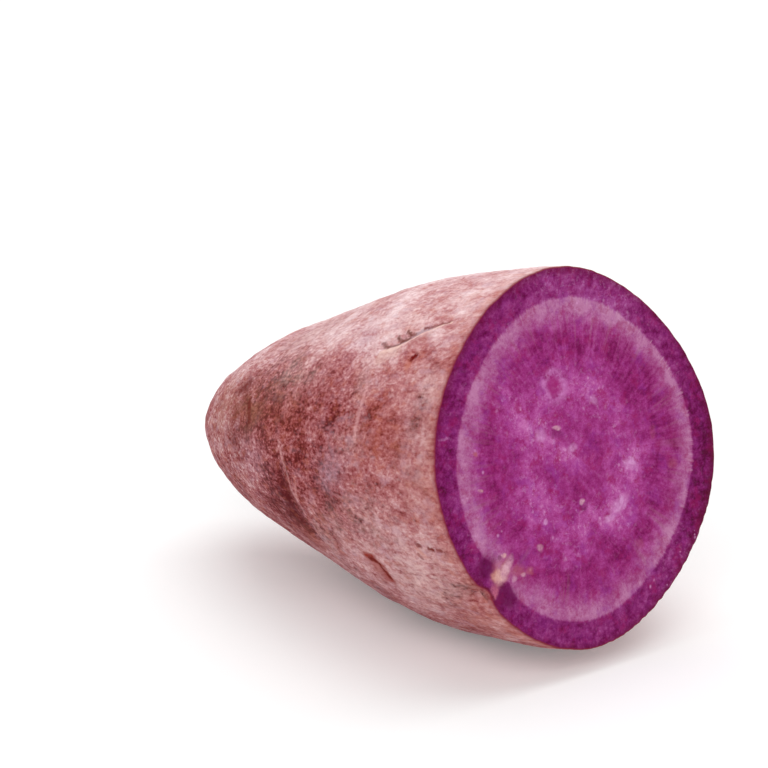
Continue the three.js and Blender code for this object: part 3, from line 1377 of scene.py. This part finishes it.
    def finish(
        self, colour: Socket, height: Socket, roughness: float, **constants: float
    ) -> bpy.types.Material:
        """Close the material with its shader.

        Args:
            colour: The base colour.
            height: The fine relief, in metres.
            roughness: The roughness.
            **constants: Plain values for the shader's other sockets, underscores for spaces.

        Returns:
            The material.
        """
        feeds = {"Base Color": colour, "Normal": self.bump(height), "Roughness": roughness}
        feeds |= {name.replace("_", " "): value for name, value in constants.items()}
        shader = self.add("ShaderNodeBsdfPrincipled", feeds)
        self.add("ShaderNodeOutputMaterial", {"Surface": shader.outputs[0]})
        return self.material


@dataclass(frozen=True)
class SkinFinish:
    """Dry skin: red-brown under a worn layer of pale dust, with fine grain and thin marks.

    The worn colours run from bare skin to the thickest dust. A tint is an attribute's name,
    its colour and how much of it shows. A hue is the grain of some flecks, their colour, how
    much of them shows, and what a bare place adds to that.
    """

    worn: Stops = (
        (0.0, srgb(92, 16, 20)),
        (0.2, srgb(138, 54, 56)),
        (0.42, srgb(174, 97, 101)),
        (0.62, srgb(203, 141, 143)),
        (0.82, srgb(232, 190, 192)),
        (1.0, srgb(252, 224, 226)),
    )
    warm: Colour = srgb(196, 106, 80)
    lilac: Colour = srgb(204, 165, 182)
    ash: Colour = srgb(208, 180, 184)
    olive: Colour = srgb(166, 108, 82)
    pale: Colour = srgb(244, 208, 204)
    # Dark skin colour, also used as painted shade in creases and under the tail.
    dark: Colour = srgb(92, 30, 36)
    cork: Colour = srgb(150, 118, 96)
    edge: Colour = srgb(128, 32, 58)
    tints: tuple[tuple[str, Colour, float], ...] = (
        ("rust", warm, 0.38),
        ("lilac", lilac, 0.6),
        ("ash", ash, 0.7),
        ("olive", olive, 0.7),
        ("pale", pale, 0.6),
        ("dark", dark, 0.6),
        ("cork", cork, 0.8),
    )
    hues: tuple[tuple[Grain, Colour, float, float], ...] = (
        (Grain(1.7 * MM, 3.0, 0.6, (-1.0, 1.0, 1.0)), warm, 0.36, -0.06),
        (Grain(1.9 * MM, 3.0, 0.6, (-1.0, -1.0, 1.0)), lilac, 0.38, -0.28),
        (Grain(0.9 * MM, 3.0, 0.6, (1.0, -1.0, 1.0)), ash, 0.26, -0.26),
    )
    hue_edge: Step = Step(0.5, 0.7)
    drawn: tuple[float, float, float] = (0.62, 1.0, 1.0)
    grain: Grain = Grain(0.42 * MM, 2.0, 0.7, weight=0.72, height=0.1 * MM)
    specks: Grain = Grain(0.8 * MM, 3.0, 0.65, weight=0.66, height=0.16 * MM)
    streaks: Grain = Grain(0.8 * MM, 3.0, 0.6, (0.2, 1.0, 1.0), weight=0.3, height=0.06 * MM)
    patches: Grain = Grain(2.6 * MM, 3.0, 0.6, weight=0.55)
    flecks: Grain = Grain(0.6 * MM, 1.0, drawn=(1.0, 1.0, -1.0), weight=0.12)
    fleck_edge: Step = Step(0.4, 0.6)
    dust_lost: float = 0.37
    crisp_by_dust: Step = Step(0.1, 0.9, 1.3, 0.8)
    crisp_by_way: Step = Step(34 * MM, 56 * MM, 1.0, 1.3)
    small_by_way: Step = Step(4 * MM, 28 * MM, 0.55, 1.0)
    large_by_way: Step = Step(2 * MM, 24 * MM, 1.6, 1.0)
    tint_mean: float = 0.8
    tint_contrast: float = 3.0
    mark_contrast: float = 1.6
    sway_cell: float = 0.6 * MM
    sway: float = 0.9 * MM
    roughness: float = 0.82
    specular: float = 0.1

    def build(self, form: RootForm) -> bpy.types.Material:
        """Make the material.

        Args:
            form: The form that its marks lie on.

        Returns:
            The material.
        """
        bench = Bench("dusty_skin")
        straight = bench.vector("straight")
        drawn = bench.scaled(straight, *self.drawn)
        grain = bench.noise(drawn, self.grain)
        specks = bench.noise(drawn, self.specks)
        streaks = bench.noise(straight, self.streaks)
        patches = bench.noise(drawn, self.patches)
        flecks = bench.band(bench.noise(drawn, self.flecks), self.fleck_edge)

        # The dust level also carries the painted overhead light on the top.
        level = bench.sum("MULTIPLY_ADD", bench.amount("bare"), -self.dust_lost, bench.amount("dust_and_top_light"))
        along = bench.add("ShaderNodeSeparateXYZ", {0: straight}).outputs["X"]
        crisp = bench.times(bench.band(level, self.crisp_by_dust), bench.band(along, self.crisp_by_way))
        near = bench.band(along, self.small_by_way)
        small = bench.mixed(0.0, (grain, self.grain.weight), (flecks, self.flecks.weight))
        small = bench.times(small, near)
        near = bench.band(along, self.large_by_way)
        large = bench.mixed(0.0, (patches, self.patches.weight))
        large = bench.sum("MULTIPLY_ADD", large, near, small)
        parts = bench.mixed(large, (specks, self.specks.weight), (streaks, self.streaks.weight))
        level = bench.sum("MULTIPLY_ADD", parts, crisp, level)
        colour = self._hues(bench, bench.ramp(level, self.worn), drawn)
        uneven = bench.mixed(self.tint_mean, (specks, self.tint_contrast))
        for name, tint, strength in self.tints:
            share = bench.times(bench.amount(name), uneven)
            colour = bench.blend(bench.times(share, strength), colour, tint)

        pairs = ((streaks, self.streaks), (specks, self.specks), (grain, self.grain))
        height = bench.mixed(0.0, *((field, look.height) for field, look in pairs))
        uneven = bench.ragged(straight, self.sway_cell, self.sway)
        patchy = bench.mixed(1.0, (specks, self.mark_contrast))
        for mark in MARKS:
            near = bench.line(uneven, form.straight(*form.measures(mark.path)), mark.half_width)
            near = bench.times(near, patchy)
            colour = bench.blend(bench.times(near, mark.strength), colour, mark.colour)
        colour = bench.blend(bench.amount("edge"), colour, self.edge)
        return bench.finish(colour, height, self.roughness, Specular_IOR_Level=self.specular)

    def _hues(self, bench: Bench, colour: Socket, drawn: Socket) -> Socket:
        """Small rusty, lilac and greyish flecks, which lie apart from the dust.

        Args:
            bench: The material's bench.
            colour: The colour under them.
            drawn: The root's straightened place, drawn out along the axis.

        Returns:
            The colour with the flecks on it.
        """
        for grain, tint, strength, bare in self.hues:
            flecks = bench.band(bench.noise(drawn, grain), self.hue_edge)
            most = bench.sum("MULTIPLY_ADD", bench.amount("bare"), bare, strength)
            colour = bench.blend(bench.times(flecks, most), colour, tint)
        return colour


@dataclass(frozen=True)
class Spot:
    """An uneven oval on the cut face: its middle across and up, half sizes, turn and colour."""

    middle: tuple[float, float]
    half: tuple[float, float]
    turn_deg: float
    colour: Colour
    strength: float


PLUM = srgb(84, 4, 50)
# Painted shade: the dark line that the rim's pinch casts just inside the notch.
PINCH_SHADE = srgb(100, 12, 34)
CREAM = srgb(226, 178, 174)
TAN = srgb(204, 140, 124)
PINK = srgb(196, 104, 130)
OCHRE = srgb(176, 92, 104)
STARCH = srgb(218, 156, 208)
WHITISH = srgb(220, 168, 186)

SPOTS = tuple(
    Spot((across * MM, up * MM), (length * MM, width * MM), turn_deg, colour, strength)
    for colour, strength, across, up, length, width, turn_deg in (
        (PLUM, 0.55, -23.2, -13.5, 3.4, 2.8, 30),
        (PLUM, 0.55, -20, -19.4, 3.8, 2.8, -35),
        (PINK, 0.75, -22.6, -18.2, 2.2, 1.3, 50),
        # Painted shade of the rim's pinch, along the edge inside the notch.
        (PINCH_SHADE, 1, -23.7, -18, 3.4, 0.8, -58),
        (OCHRE, 0.6, -20.4, -15.2, 3.8, 2.6, 40),
        (TAN, 0.7, -21.4, -15.5, 1.6, 1.4, 40),
        (CREAM, 0.75, -20.3, -15.5, 2.5, 1.7, 40),
        (WHITISH, 0.8, -19, -14.6, 2.9, 1.1, 46),
        (CREAM, 0.8, -19.1, -12.6, 0.8, 0.6, 0),
        (PLUM, 0.6, -20.1, -12.7, 0.7, 0.6, 0),
        (OCHRE, 0.5, -16.6, -15.8, 2.2, 1.4, 0),
        (WHITISH, 0.5, -15.6, -16.6, 0.7, 0.6, 0),
        (OCHRE, 0.6, -14.2, -16.3, 1.3, 1, 0),
        (WHITISH, 0.4, -17.7, -16.9, 0.8, 0.6, 0),
        (WHITISH, 0.55, -11.1, -13.1, 0.8, 0.9, 0),
        (STARCH, 0.6, -9.1, -9.1, 0.7, 0.6, 0),
        (STARCH, 0.55, 7.8, -9.8, 3.6, 1.5, 28),
        (STARCH, 0.9, 8.6, -9.2, 1.2, 0.7, 60),
        (STARCH, 0.45, 5, -11.6, 1.8, 1, 8),
        (STARCH, 0.5, 11.6, -3.4, 2.4, 1.3, -20),
        (STARCH, 0.8, 12, -3.2, 0.8, 0.6, -25),
        (STARCH, 0.6, -0.8, 1.8, 1.5, 1, 10),
        (PLUM, 0.45, -0.3, -8.4, 1.4, 1.1, 0),
        (WHITISH, 0.7, -0.4, -7.6, 0.8, 0.6, 0),
        (PLUM, 0.4, -3.7, 4.9, 2, 1.1, -15),
        (WHITISH, 0.6, -3.6, 5.8, 1.3, 0.45, -8),
        (STARCH, 0.5, 5.4, 8.8, 1.6, 1.1, -40),
        (STARCH, 0.4, -7.4, 5.4, 1.8, 1.5, 0),
        (STARCH, 0.2, -28, 8.9, 1.8, 0.4, -4),
        (CREAM, 0.55, -22, -0.9, 0.8, 0.5, -10),
        (OCHRE, 0.6, -22, 5.2, 0.8, 0.7, 0),
        (OCHRE, 0.25, 17.8, 0.8, 1.6, 1, 80),
        (OCHRE, 0.35, 21.4, -5.4, 1.6, 1.3, 0),
        (OCHRE, 0.25, 11.2, -17.2, 1.6, 1.1, -40),
    )
)


@dataclass(frozen=True)
class CutFields:
    """What the flesh's colour is worked out from at each place of the cut."""

    share: Socket
    flat: Socket
    uneven: Socket
    rays: Socket
    teeth: Socket
    soft: Socket
    mottle: Socket
    fine: Socket


@dataclass(frozen=True)
class Blotch:
    """Patches of another hue in the flesh: their grain, their most by share, their colour."""

    grain: Grain
    by_share: Step
    colour: Colour


@dataclass(frozen=True)
class Bundle:
    """A round bundle in the flesh: a pale outline about a redder middle."""

    side: float = -2.8 * MM
    up: float = 12.8 * MM
    radius: float = 1.9 * MM
    pale: Colour = srgb(200, 120, 184)
    middle: Colour = srgb(158, 34, 110)
    middle_edge: Step = Step(0.34, 0.74, 0.0, 0.6)
    outer_edge: Step = Step(0.05, 0.42)
    inner_edge: Step = Step(0.4, 0.74, 1.0, 0.0)
    mean: float = 0.55
    contrast: float = 3.4


@dataclass(frozen=True)
class FleshFinish:
    """Moist purple flesh: a dark cortex, a pale ring, and a mottled core with fine rays.

    Each of the three is a row of colours, from its least starchy to its most. Spokes are how
    many stand in one pitch, and how often they break on the way out. A pair by cloud is what
    a full cloud adds, and what there is without one.
    """

    core: Stops = shades(
        (118, 11, 80), (141, 32, 104), (157, 50, 124), (172, 68, 143), (185, 88, 159), (200, 112, 177)
    )
    ring: Stops = shades(
        (120, 20, 78), (136, 38, 96), (152, 57, 116), (165, 78, 134), (176, 100, 149), (189, 121, 164)
    )
    cortex: Stops = shades(
        (82, 3, 48), (106, 5, 74), (126, 27, 97), (144, 48, 116), (158, 67, 134), (173, 89, 153)
    )
    level_by_share: Path = (
        (0.0, 0.46), (0.16, 0.26), (0.36, 0.38), (0.48, 0.3), (0.6, 0.22), (0.68, 0.32),
        (0.77, 0.66), (0.82, 0.8), (0.84, 0.76), (0.85, 0.5), (1.0, 0.44),
    )
    grain: Colour = srgb(222, 158, 208)
    tooth: Colour = srgb(206, 156, 186)
    olive: Colour = srgb(140, 84, 96)
    outer: Colour = srgb(96, 4, 34)

    soft: Grain = Grain(2.8 * MM, 3.0, 0.6)
    mottle: Grain = Grain(4.8 * MM, 5.0, 0.9, height=0.12 * MM)
    fine: Grain = Grain(1.9 * MM, 3.0, 0.84, (1.0, -1.0, 1.0), height=0.12 * MM)
    sway_cell: float = 1.2 * MM
    sway: float = 1.0 * MM
    spoke_pitch: float = 2.6 * MM
    spoke_rough: float = 0.6
    ray_spokes: tuple[float, float] = (1.0, 2.6)
    tooth_spokes: tuple[float, float] = (2.2, 9.0)

    cloud_level: float = 0.42
    rich_level: float = -0.26
    mottle_by_share: Step = Step(0.82, 0.87, 2.3, 0.25)
    fine_by_share: Step = Step(0.82, 0.87, 0.3, 1.8)
    rays_start: Step = Step(0.4, 0.62)
    rays_end: Step = Step(0.68, 0.8, 0.9, 0.34)
    ray_contrast: float = 2.4

    ring_start: Step = Step(0.62, 0.8)
    ring_sway: float = 0.16
    teeth_start: Step = Step(0.78, 0.835)
    tooth_edge: Step = Step(0.5, 0.68, 0.0, 0.42)
    tooth_push: float = -0.036
    ring_end: Step = Step(0.834, 0.856)
    ring_end_rays: float = 0.02
    ring_end_sway: float = 0.035

    blotches: tuple[Blotch, ...] = (
        Blotch(Grain(4 * MM, 4.0, 0.7, (-1.0, 1.0, 1.0)), Step(0.82, 0.86, 0.36, 0.18), srgb(146, 50, 146)),
        Blotch(Grain(3 * MM, 4.0, 0.75, (-1.0, -1.0, 1.0)), Step(0.45, 0.6, 0.7, 0.48), srgb(150, 20, 88)),
    )
    blotch_edge: Step = Step(0.5, 0.66)
    olive_start: Step = Step(0.54, 0.66)
    olive_end: Step = Step(0.72, 0.82, 0.5, 0.0)
    olive_rays: Step = Step(0.52, 0.7)
    olive_most: float = 0.5
    outer_start: Step = Step(0.945, 1.0, 0.0, 0.5)

    flecks: Grain = Grain(1.1 * MM, 3.0, 0.75, (1.0, 1.0, -1.0))
    fleck_edge: Step = Step(0.52, 0.7)
    flecks_by_cloud: tuple[float, float] = (0.5, 0.05)
    grain_pitch: float = 1.0 * MM
    grains_by_cloud: tuple[float, float] = (0.16, 0.03)
    grains_by_grit: float = 0.34
    grain_chosen: Step = Step(0.0, 0.1)
    grain_sizes: Step = Step(0.0, 1.0, 0.2, 0.45)
    grain_edge: Step = Step(0.1, 1.0, 0.6, 0.0)

    bundle: Bundle = Bundle()
    spot_mean: float = 0.9
    spot_contrast: float = 3.0
    spot_edge: float = 0.7
    roughness: float = 0.44
    specular: float = 0.06

    def build(self, form: RootForm) -> bpy.types.Material:
        """Make the material.

        Args:
            form: The form, whose cut height sets the pitch of the rays.

        Returns:
            The material.
        """
        bench = Bench("moist_flesh")
        plane = bench.vector("cut_plane")
        share = bench.add("ShaderNodeSeparateXYZ", {0: plane}).outputs["Z"]
        flat = bench.scaled(plane, 1.0, 1.0, 0.0)
        uneven = bench.ragged(flat, self.sway_cell, self.sway)
        turns = form.cut_height / self.spoke_pitch
        spokes = []
        for many, breaks in (self.ray_spokes, self.tooth_spokes):
            grain = Grain(1.0, 2.0, self.spoke_rough, (many * turns, many * turns, breaks))
            spokes.append(bench.noise(bench.vector("cut_way"), grain))
        grains = [bench.noise(flat, grain) for grain in (self.soft, self.mottle, self.fine)]
        at = CutFields(share, flat, uneven, *spokes, *grains)

        colour = self._zones(bench, at, self._level(bench, at))
        for layer in (self._hues, self._grains, self._bundle, self._spots):
            colour = layer(bench, at, colour)
        height = bench.mixed(0.0, (at.mottle, self.mottle.height), (at.fine, self.fine.height))
        return bench.finish(colour, height, self.roughness, Specular_IOR_Level=self.specular)

    def _level(self, bench: Bench, at: CutFields) -> Socket:
        """How starchy the flesh is: by share of the radius, clouds, rays and grain.

        Args:
            bench: The material's bench.
            at: The fields of the cut.

        Returns:
            The level, about 0 to 1.
        """
        greys = tuple((place, (level, level, level, 1.0)) for place, level in self.level_by_share)
        level = bench.ramp(at.share, greys)
        level = bench.sum("MULTIPLY_ADD", bench.amount("cloud"), self.cloud_level, level)
        level = bench.sum("MULTIPLY_ADD", bench.amount("rich"), self.rich_level, level)
        for field, by_share in ((at.mottle, self.mottle_by_share), (at.fine, self.fine_by_share)):
            level = bench.mixed(level, (field, bench.band(at.share, by_share)))
        rayed = bench.times(bench.band(at.share, self.rays_start), bench.band(at.share, self.rays_end))
        rayed = bench.times(rayed, bench.mixed(bench.amount("rayed"), (at.soft, self.ray_contrast)))
        return bench.mixed(level, (at.rays, rayed))

    def _zones(self, bench: Bench, at: CutFields, level: Socket) -> Socket:
        """Colour of each zone by level, with an uneven line between core, ring and cortex.

        Pale teeth stand along the outer edge of the ring, and the cortex starts between them.

        Args:
            bench: The material's bench.
            at: The fields of the cut.
            level: How starchy the flesh is.

        Returns:
            The colour.
        """
        swayed = bench.mixed(at.share, (at.rays, self.ring_sway), (at.soft, self.ring_sway))
        start = bench.band(swayed, self.ring_start)
        colour = bench.blend(start, bench.ramp(level, self.core), bench.ramp(level, self.ring))
        rayed = bench.amount("rayed")
        tips = bench.times(bench.band(at.share, self.teeth_start), bench.band(at.teeth, self.tooth_edge))
        colour = bench.blend(bench.times(tips, rayed), colour, self.tooth)
        crisp = bench.mixed(at.share, (at.rays, self.ring_end_rays), (at.soft, self.ring_end_sway))
        pushed = bench.times(bench.sum("SUBTRACT", at.teeth, 0.5), rayed)
        crisp = bench.sum("MULTIPLY_ADD", pushed, self.tooth_push, crisp)
        return bench.blend(bench.band(crisp, self.ring_end), colour, bench.ramp(level, self.cortex))

    def _hues(self, bench: Bench, at: CutFields, colour: Socket) -> Socket:
        """Bluer and redder patches, olive rays beside the ring, and a maroon outer edge.

        Args:
            bench: The material's bench.
            at: The fields of the cut.
            colour: The colour so far.

        Returns:
            The colour with them on it.
        """
        for blotch in self.blotches:
            patch = bench.band(bench.noise(at.flat, blotch.grain), self.blotch_edge)
            patch = bench.times(patch, bench.band(at.share, blotch.by_share))
            colour = bench.blend(patch, colour, blotch.colour)
        near = bench.times(bench.band(at.share, self.olive_start), bench.band(at.share, self.olive_end))
        brown = bench.times(near, bench.band(at.rays, self.olive_rays))
        colour = bench.blend(bench.times(brown, self.olive_most), colour, self.olive)
        return bench.blend(bench.band(at.share, self.outer_start), colour, self.outer)

    def _grains(self, bench: Bench, at: CutFields, colour: Socket) -> Socket:
        """Bright flecks in the clouds, and scattered starch grains in the clouds and the grit.

        Args:
            bench: The material's bench.
            at: The fields of the cut.
            colour: The colour so far.

        Returns:
            The colour with them on it.
        """
        flecks = bench.band(bench.noise(at.flat, self.flecks), self.fleck_edge)
        most = bench.sum("MULTIPLY_ADD", bench.amount("cloud"), *self.flecks_by_cloud)
        colour = bench.blend(bench.times(flecks, most), colour, STARCH)
        feeds = {"Vector": at.flat, "Scale": 1.0 / self.grain_pitch, "Randomness": 1.0}
        cells = bench.add("ShaderNodeTexVoronoi", feeds)
        pick = bench.add("ShaderNodeSeparateColor", {0: cells.outputs["Color"]})
        many = bench.sum("MULTIPLY_ADD", bench.amount("cloud"), *self.grains_by_cloud)
        many = bench.sum("MAXIMUM", many, bench.times(bench.amount("grit"), self.grains_by_grit))
        chosen = bench.band(bench.sum("SUBTRACT", many, pick.outputs[0]), self.grain_chosen)
        size = bench.band(pick.outputs[1], self.grain_sizes)
        dots = bench.band(bench.sum("DIVIDE", cells.outputs["Distance"], size), self.grain_edge)
        return bench.blend(bench.times(dots, chosen), colour, self.grain)

    def _bundle(self, bench: Bench, at: CutFields, colour: Socket) -> Socket:
        """The round bundle above the middle of the core.

        Args:
            bench: The material's bench.
            at: The fields of the cut.
            colour: The colour so far.

        Returns:
            The colour with the bundle on it.
        """
        look = self.bundle
        reach = bench.blot(at.uneven, (look.side, look.up), (2 * look.radius, 2 * look.radius))
        colour = bench.blend(bench.band(reach, look.middle_edge), colour, look.middle)
        ring = bench.times(bench.band(reach, look.outer_edge), bench.band(reach, look.inner_edge))
        ring = bench.times(ring, bench.mixed(look.mean, (at.fine, look.contrast)))
        return bench.blend(ring, colour, look.pale)

    def _spots(self, bench: Bench, at: CutFields, colour: Socket) -> Socket:
        """Marks on the cut face, each an oval with a soft and uneven edge; one is the painted shade of the
        rim's pinch.

        Args:
            bench: The material's bench.
            at: The fields of the cut.
            colour: The colour so far.

        Returns:
            The colour with them on it.
        """
        patchy = bench.mixed(self.spot_mean, (at.fine, self.spot_contrast))
        for spot in SPOTS:
            near = bench.blot(at.uneven, spot.middle, spot.half, spot.turn_deg)
            near = bench.band(near, Step(0.0, self.spot_edge, 0.0, spot.strength))
            colour = bench.blend(bench.times(near, patchy), colour, spot.colour)
        return colour


# ----------------------------------------------------------------- floor, light and camera


@dataclass(frozen=True)
class Lamp:
    """A square soft lamp: its name, side, power and place."""

    name: str
    side: float
    power: float
    place: tuple[float, float, float]

    def build(self, over: Vector) -> bpy.types.Object:
        """Hang the lamp.

        Args:
            over: What it faces.

        Returns:
            The lamp.
        """
        data = bpy.data.lights.new(self.name, "AREA")
        data.shape = "SQUARE"
        data.size = self.side
        data.energy = self.power
        lamp = bpy.data.objects.new(self.name, data)
        lamp.location = Vector(self.place)
        lamp.rotation_euler = (over - lamp.location).to_track_quat("-Z", "Y").to_euler()
        bpy.context.scene.collection.objects.link(lamp)
        return lamp


@dataclass(frozen=True)
class Studio:
    """White floor and air, two big soft lamps, and the camera."""

    floor_side: float = 6.0
    floor_colour: Colour = (0.88, 0.88, 0.88, 1.0)
    glow: Step = Step(0.3, 1.6, 0.17, 0.65)
    air: float = 0.42
    lamps: tuple[Lamp, ...] = (
        Lamp("top_softbox", 1.4, 11.0, (-0.25, 0.35, 1.3)),
        Lamp("front_softbox", 1.2, 13.0, (1.0, -1.0, 0.95)),
    )
    camera_azimuth_deg: float = 49.57
    camera_elevation_deg: float = 17.37
    camera_distance: float = 650 * MM
    camera_lens: float = 180.8
    camera_clip: tuple[float, float] = (0.01, 20.0)
    aim_right: float = -32.585 * MM
    aim_up: float = 12.414 * MM

    @staticmethod
    def seen(tree: bpy.types.NodeTree) -> Socket:
        """1 where a ray comes from the camera, a reflection or through glass, else 0.

        Args:
            tree: The node tree to add it to.

        Returns:
            The 1 or 0.
        """
        path = tree.nodes.new("ShaderNodeLightPath")
        seen = path.outputs["Is Camera Ray"]
        for name in ("Is Glossy Ray", "Is Transmission Ray"):
            both = tree.nodes.new("ShaderNodeMath")
            both.operation = "MAXIMUM"
            tree.links.new(seen, both.inputs[0])
            tree.links.new(path.outputs[name], both.inputs[1])
            seen = both.outputs[0]
        return seen

    def floor(self, level: float) -> bpy.types.Object:
        """Lay the floor: diffuse white with a glow that only the camera sees, stronger far off.

        Args:
            level: Height of the floor.

        Returns:
            The floor.
        """
        half = self.floor_side / 2
        corners = [(-half, -half, level), (half, -half, level), (half, half, level), (-half, half, level)]
        mesh = bpy.data.meshes.new("floor")
        mesh.from_pydata(corners, [], [(0, 1, 2, 3)])
        bench = Bench("floor_white")
        matt = bench.add("ShaderNodeBsdfDiffuse", {"Color": self.floor_colour})
        glow = bench.add("ShaderNodeEmission")
        place = bench.add("ShaderNodeTexCoord").outputs["Object"]
        away = bench.on_vectors("LENGTH", place).outputs["Value"]
        strength = bench.band(away, self.glow)
        strength = bench.times(self.seen(bench.tree), strength)
        bench.tree.links.new(strength, glow.inputs["Strength"])
        both = bench.add("ShaderNodeAddShader", {0: matt.outputs[0], 1: glow.outputs[0]})
        bench.add("ShaderNodeOutputMaterial", {"Surface": both.outputs[0]})
        mesh.materials.append(bench.material)
        floor = bpy.data.objects.new("floor", mesh)
        bpy.context.scene.collection.objects.link(floor)
        return floor

    def world(self) -> None:
        """Fill the air with even light, and show it as plain white."""
        world = bpy.data.worlds.new("studio_air")
        bpy.context.scene.world = world
        world.use_nodes = True
        tree = world.node_tree
        back = tree.nodes["Background"]
        back.inputs["Color"].default_value = (1.0, 1.0, 1.0, 1.0)
        level = tree.nodes.new("ShaderNodeMapRange")
        level.inputs["To Min"].default_value = self.air
        level.inputs["To Max"].default_value = 1.0
        tree.links.new(self.seen(tree), level.inputs["Value"])
        tree.links.new(level.outputs[0], back.inputs["Strength"])

    def camera(self, cut: Vector) -> bpy.types.Object:
        """Place the camera, which looks down on the cut face from in front and to the right.

        Args:
            cut: Middle of the cut face.

        Returns:
            The camera, set as the scene's own.
        """
        azimuth = math.radians(self.camera_azimuth_deg)
        rise = math.radians(self.camera_elevation_deg)
        level = math.cos(rise)
        back = Vector((math.sin(azimuth) * level, -math.cos(azimuth) * level, math.sin(rise)))
        turn = (-back).to_track_quat("-Z", "Y")
        right, up = turn @ Vector((1.0, 0.0, 0.0)), turn @ Vector((0.0, 1.0, 0.0))
        data = bpy.data.cameras.new("camera")
        data.lens = self.camera_lens
        data.clip_start, data.clip_end = self.camera_clip
        camera = bpy.data.objects.new("camera", data)
        camera.location = cut + right * self.aim_right + up * self.aim_up + back * self.camera_distance
        camera.rotation_euler = turn.to_euler()
        bpy.context.scene.collection.objects.link(camera)
        bpy.context.scene.camera = camera
        return camera


def report(piece: bpy.types.Object) -> None:
    """Log a piece's name and its count of faces."""
    LOG.info("%s: %d faces", piece.name, len(piece.data.polygons))


def main() -> None:
    """Build the root and its studio."""
    logging.basicConfig(level=logging.INFO, format="%(name)s: %(message)s")
    bpy.context.scene.view_settings.view_transform = "Standard"
    root = SweetPotatoHalf(RootForm(), Rim(), Relief(), NODE)
    report(root.build())
    studio = Studio()
    report(studio.floor(root.floor))
    studio.world()
    for lamp in studio.lamps:
        lamp.build(root.cut_middle)
    studio.camera(root.cut_middle)


if __name__ == "__main__":
    main()
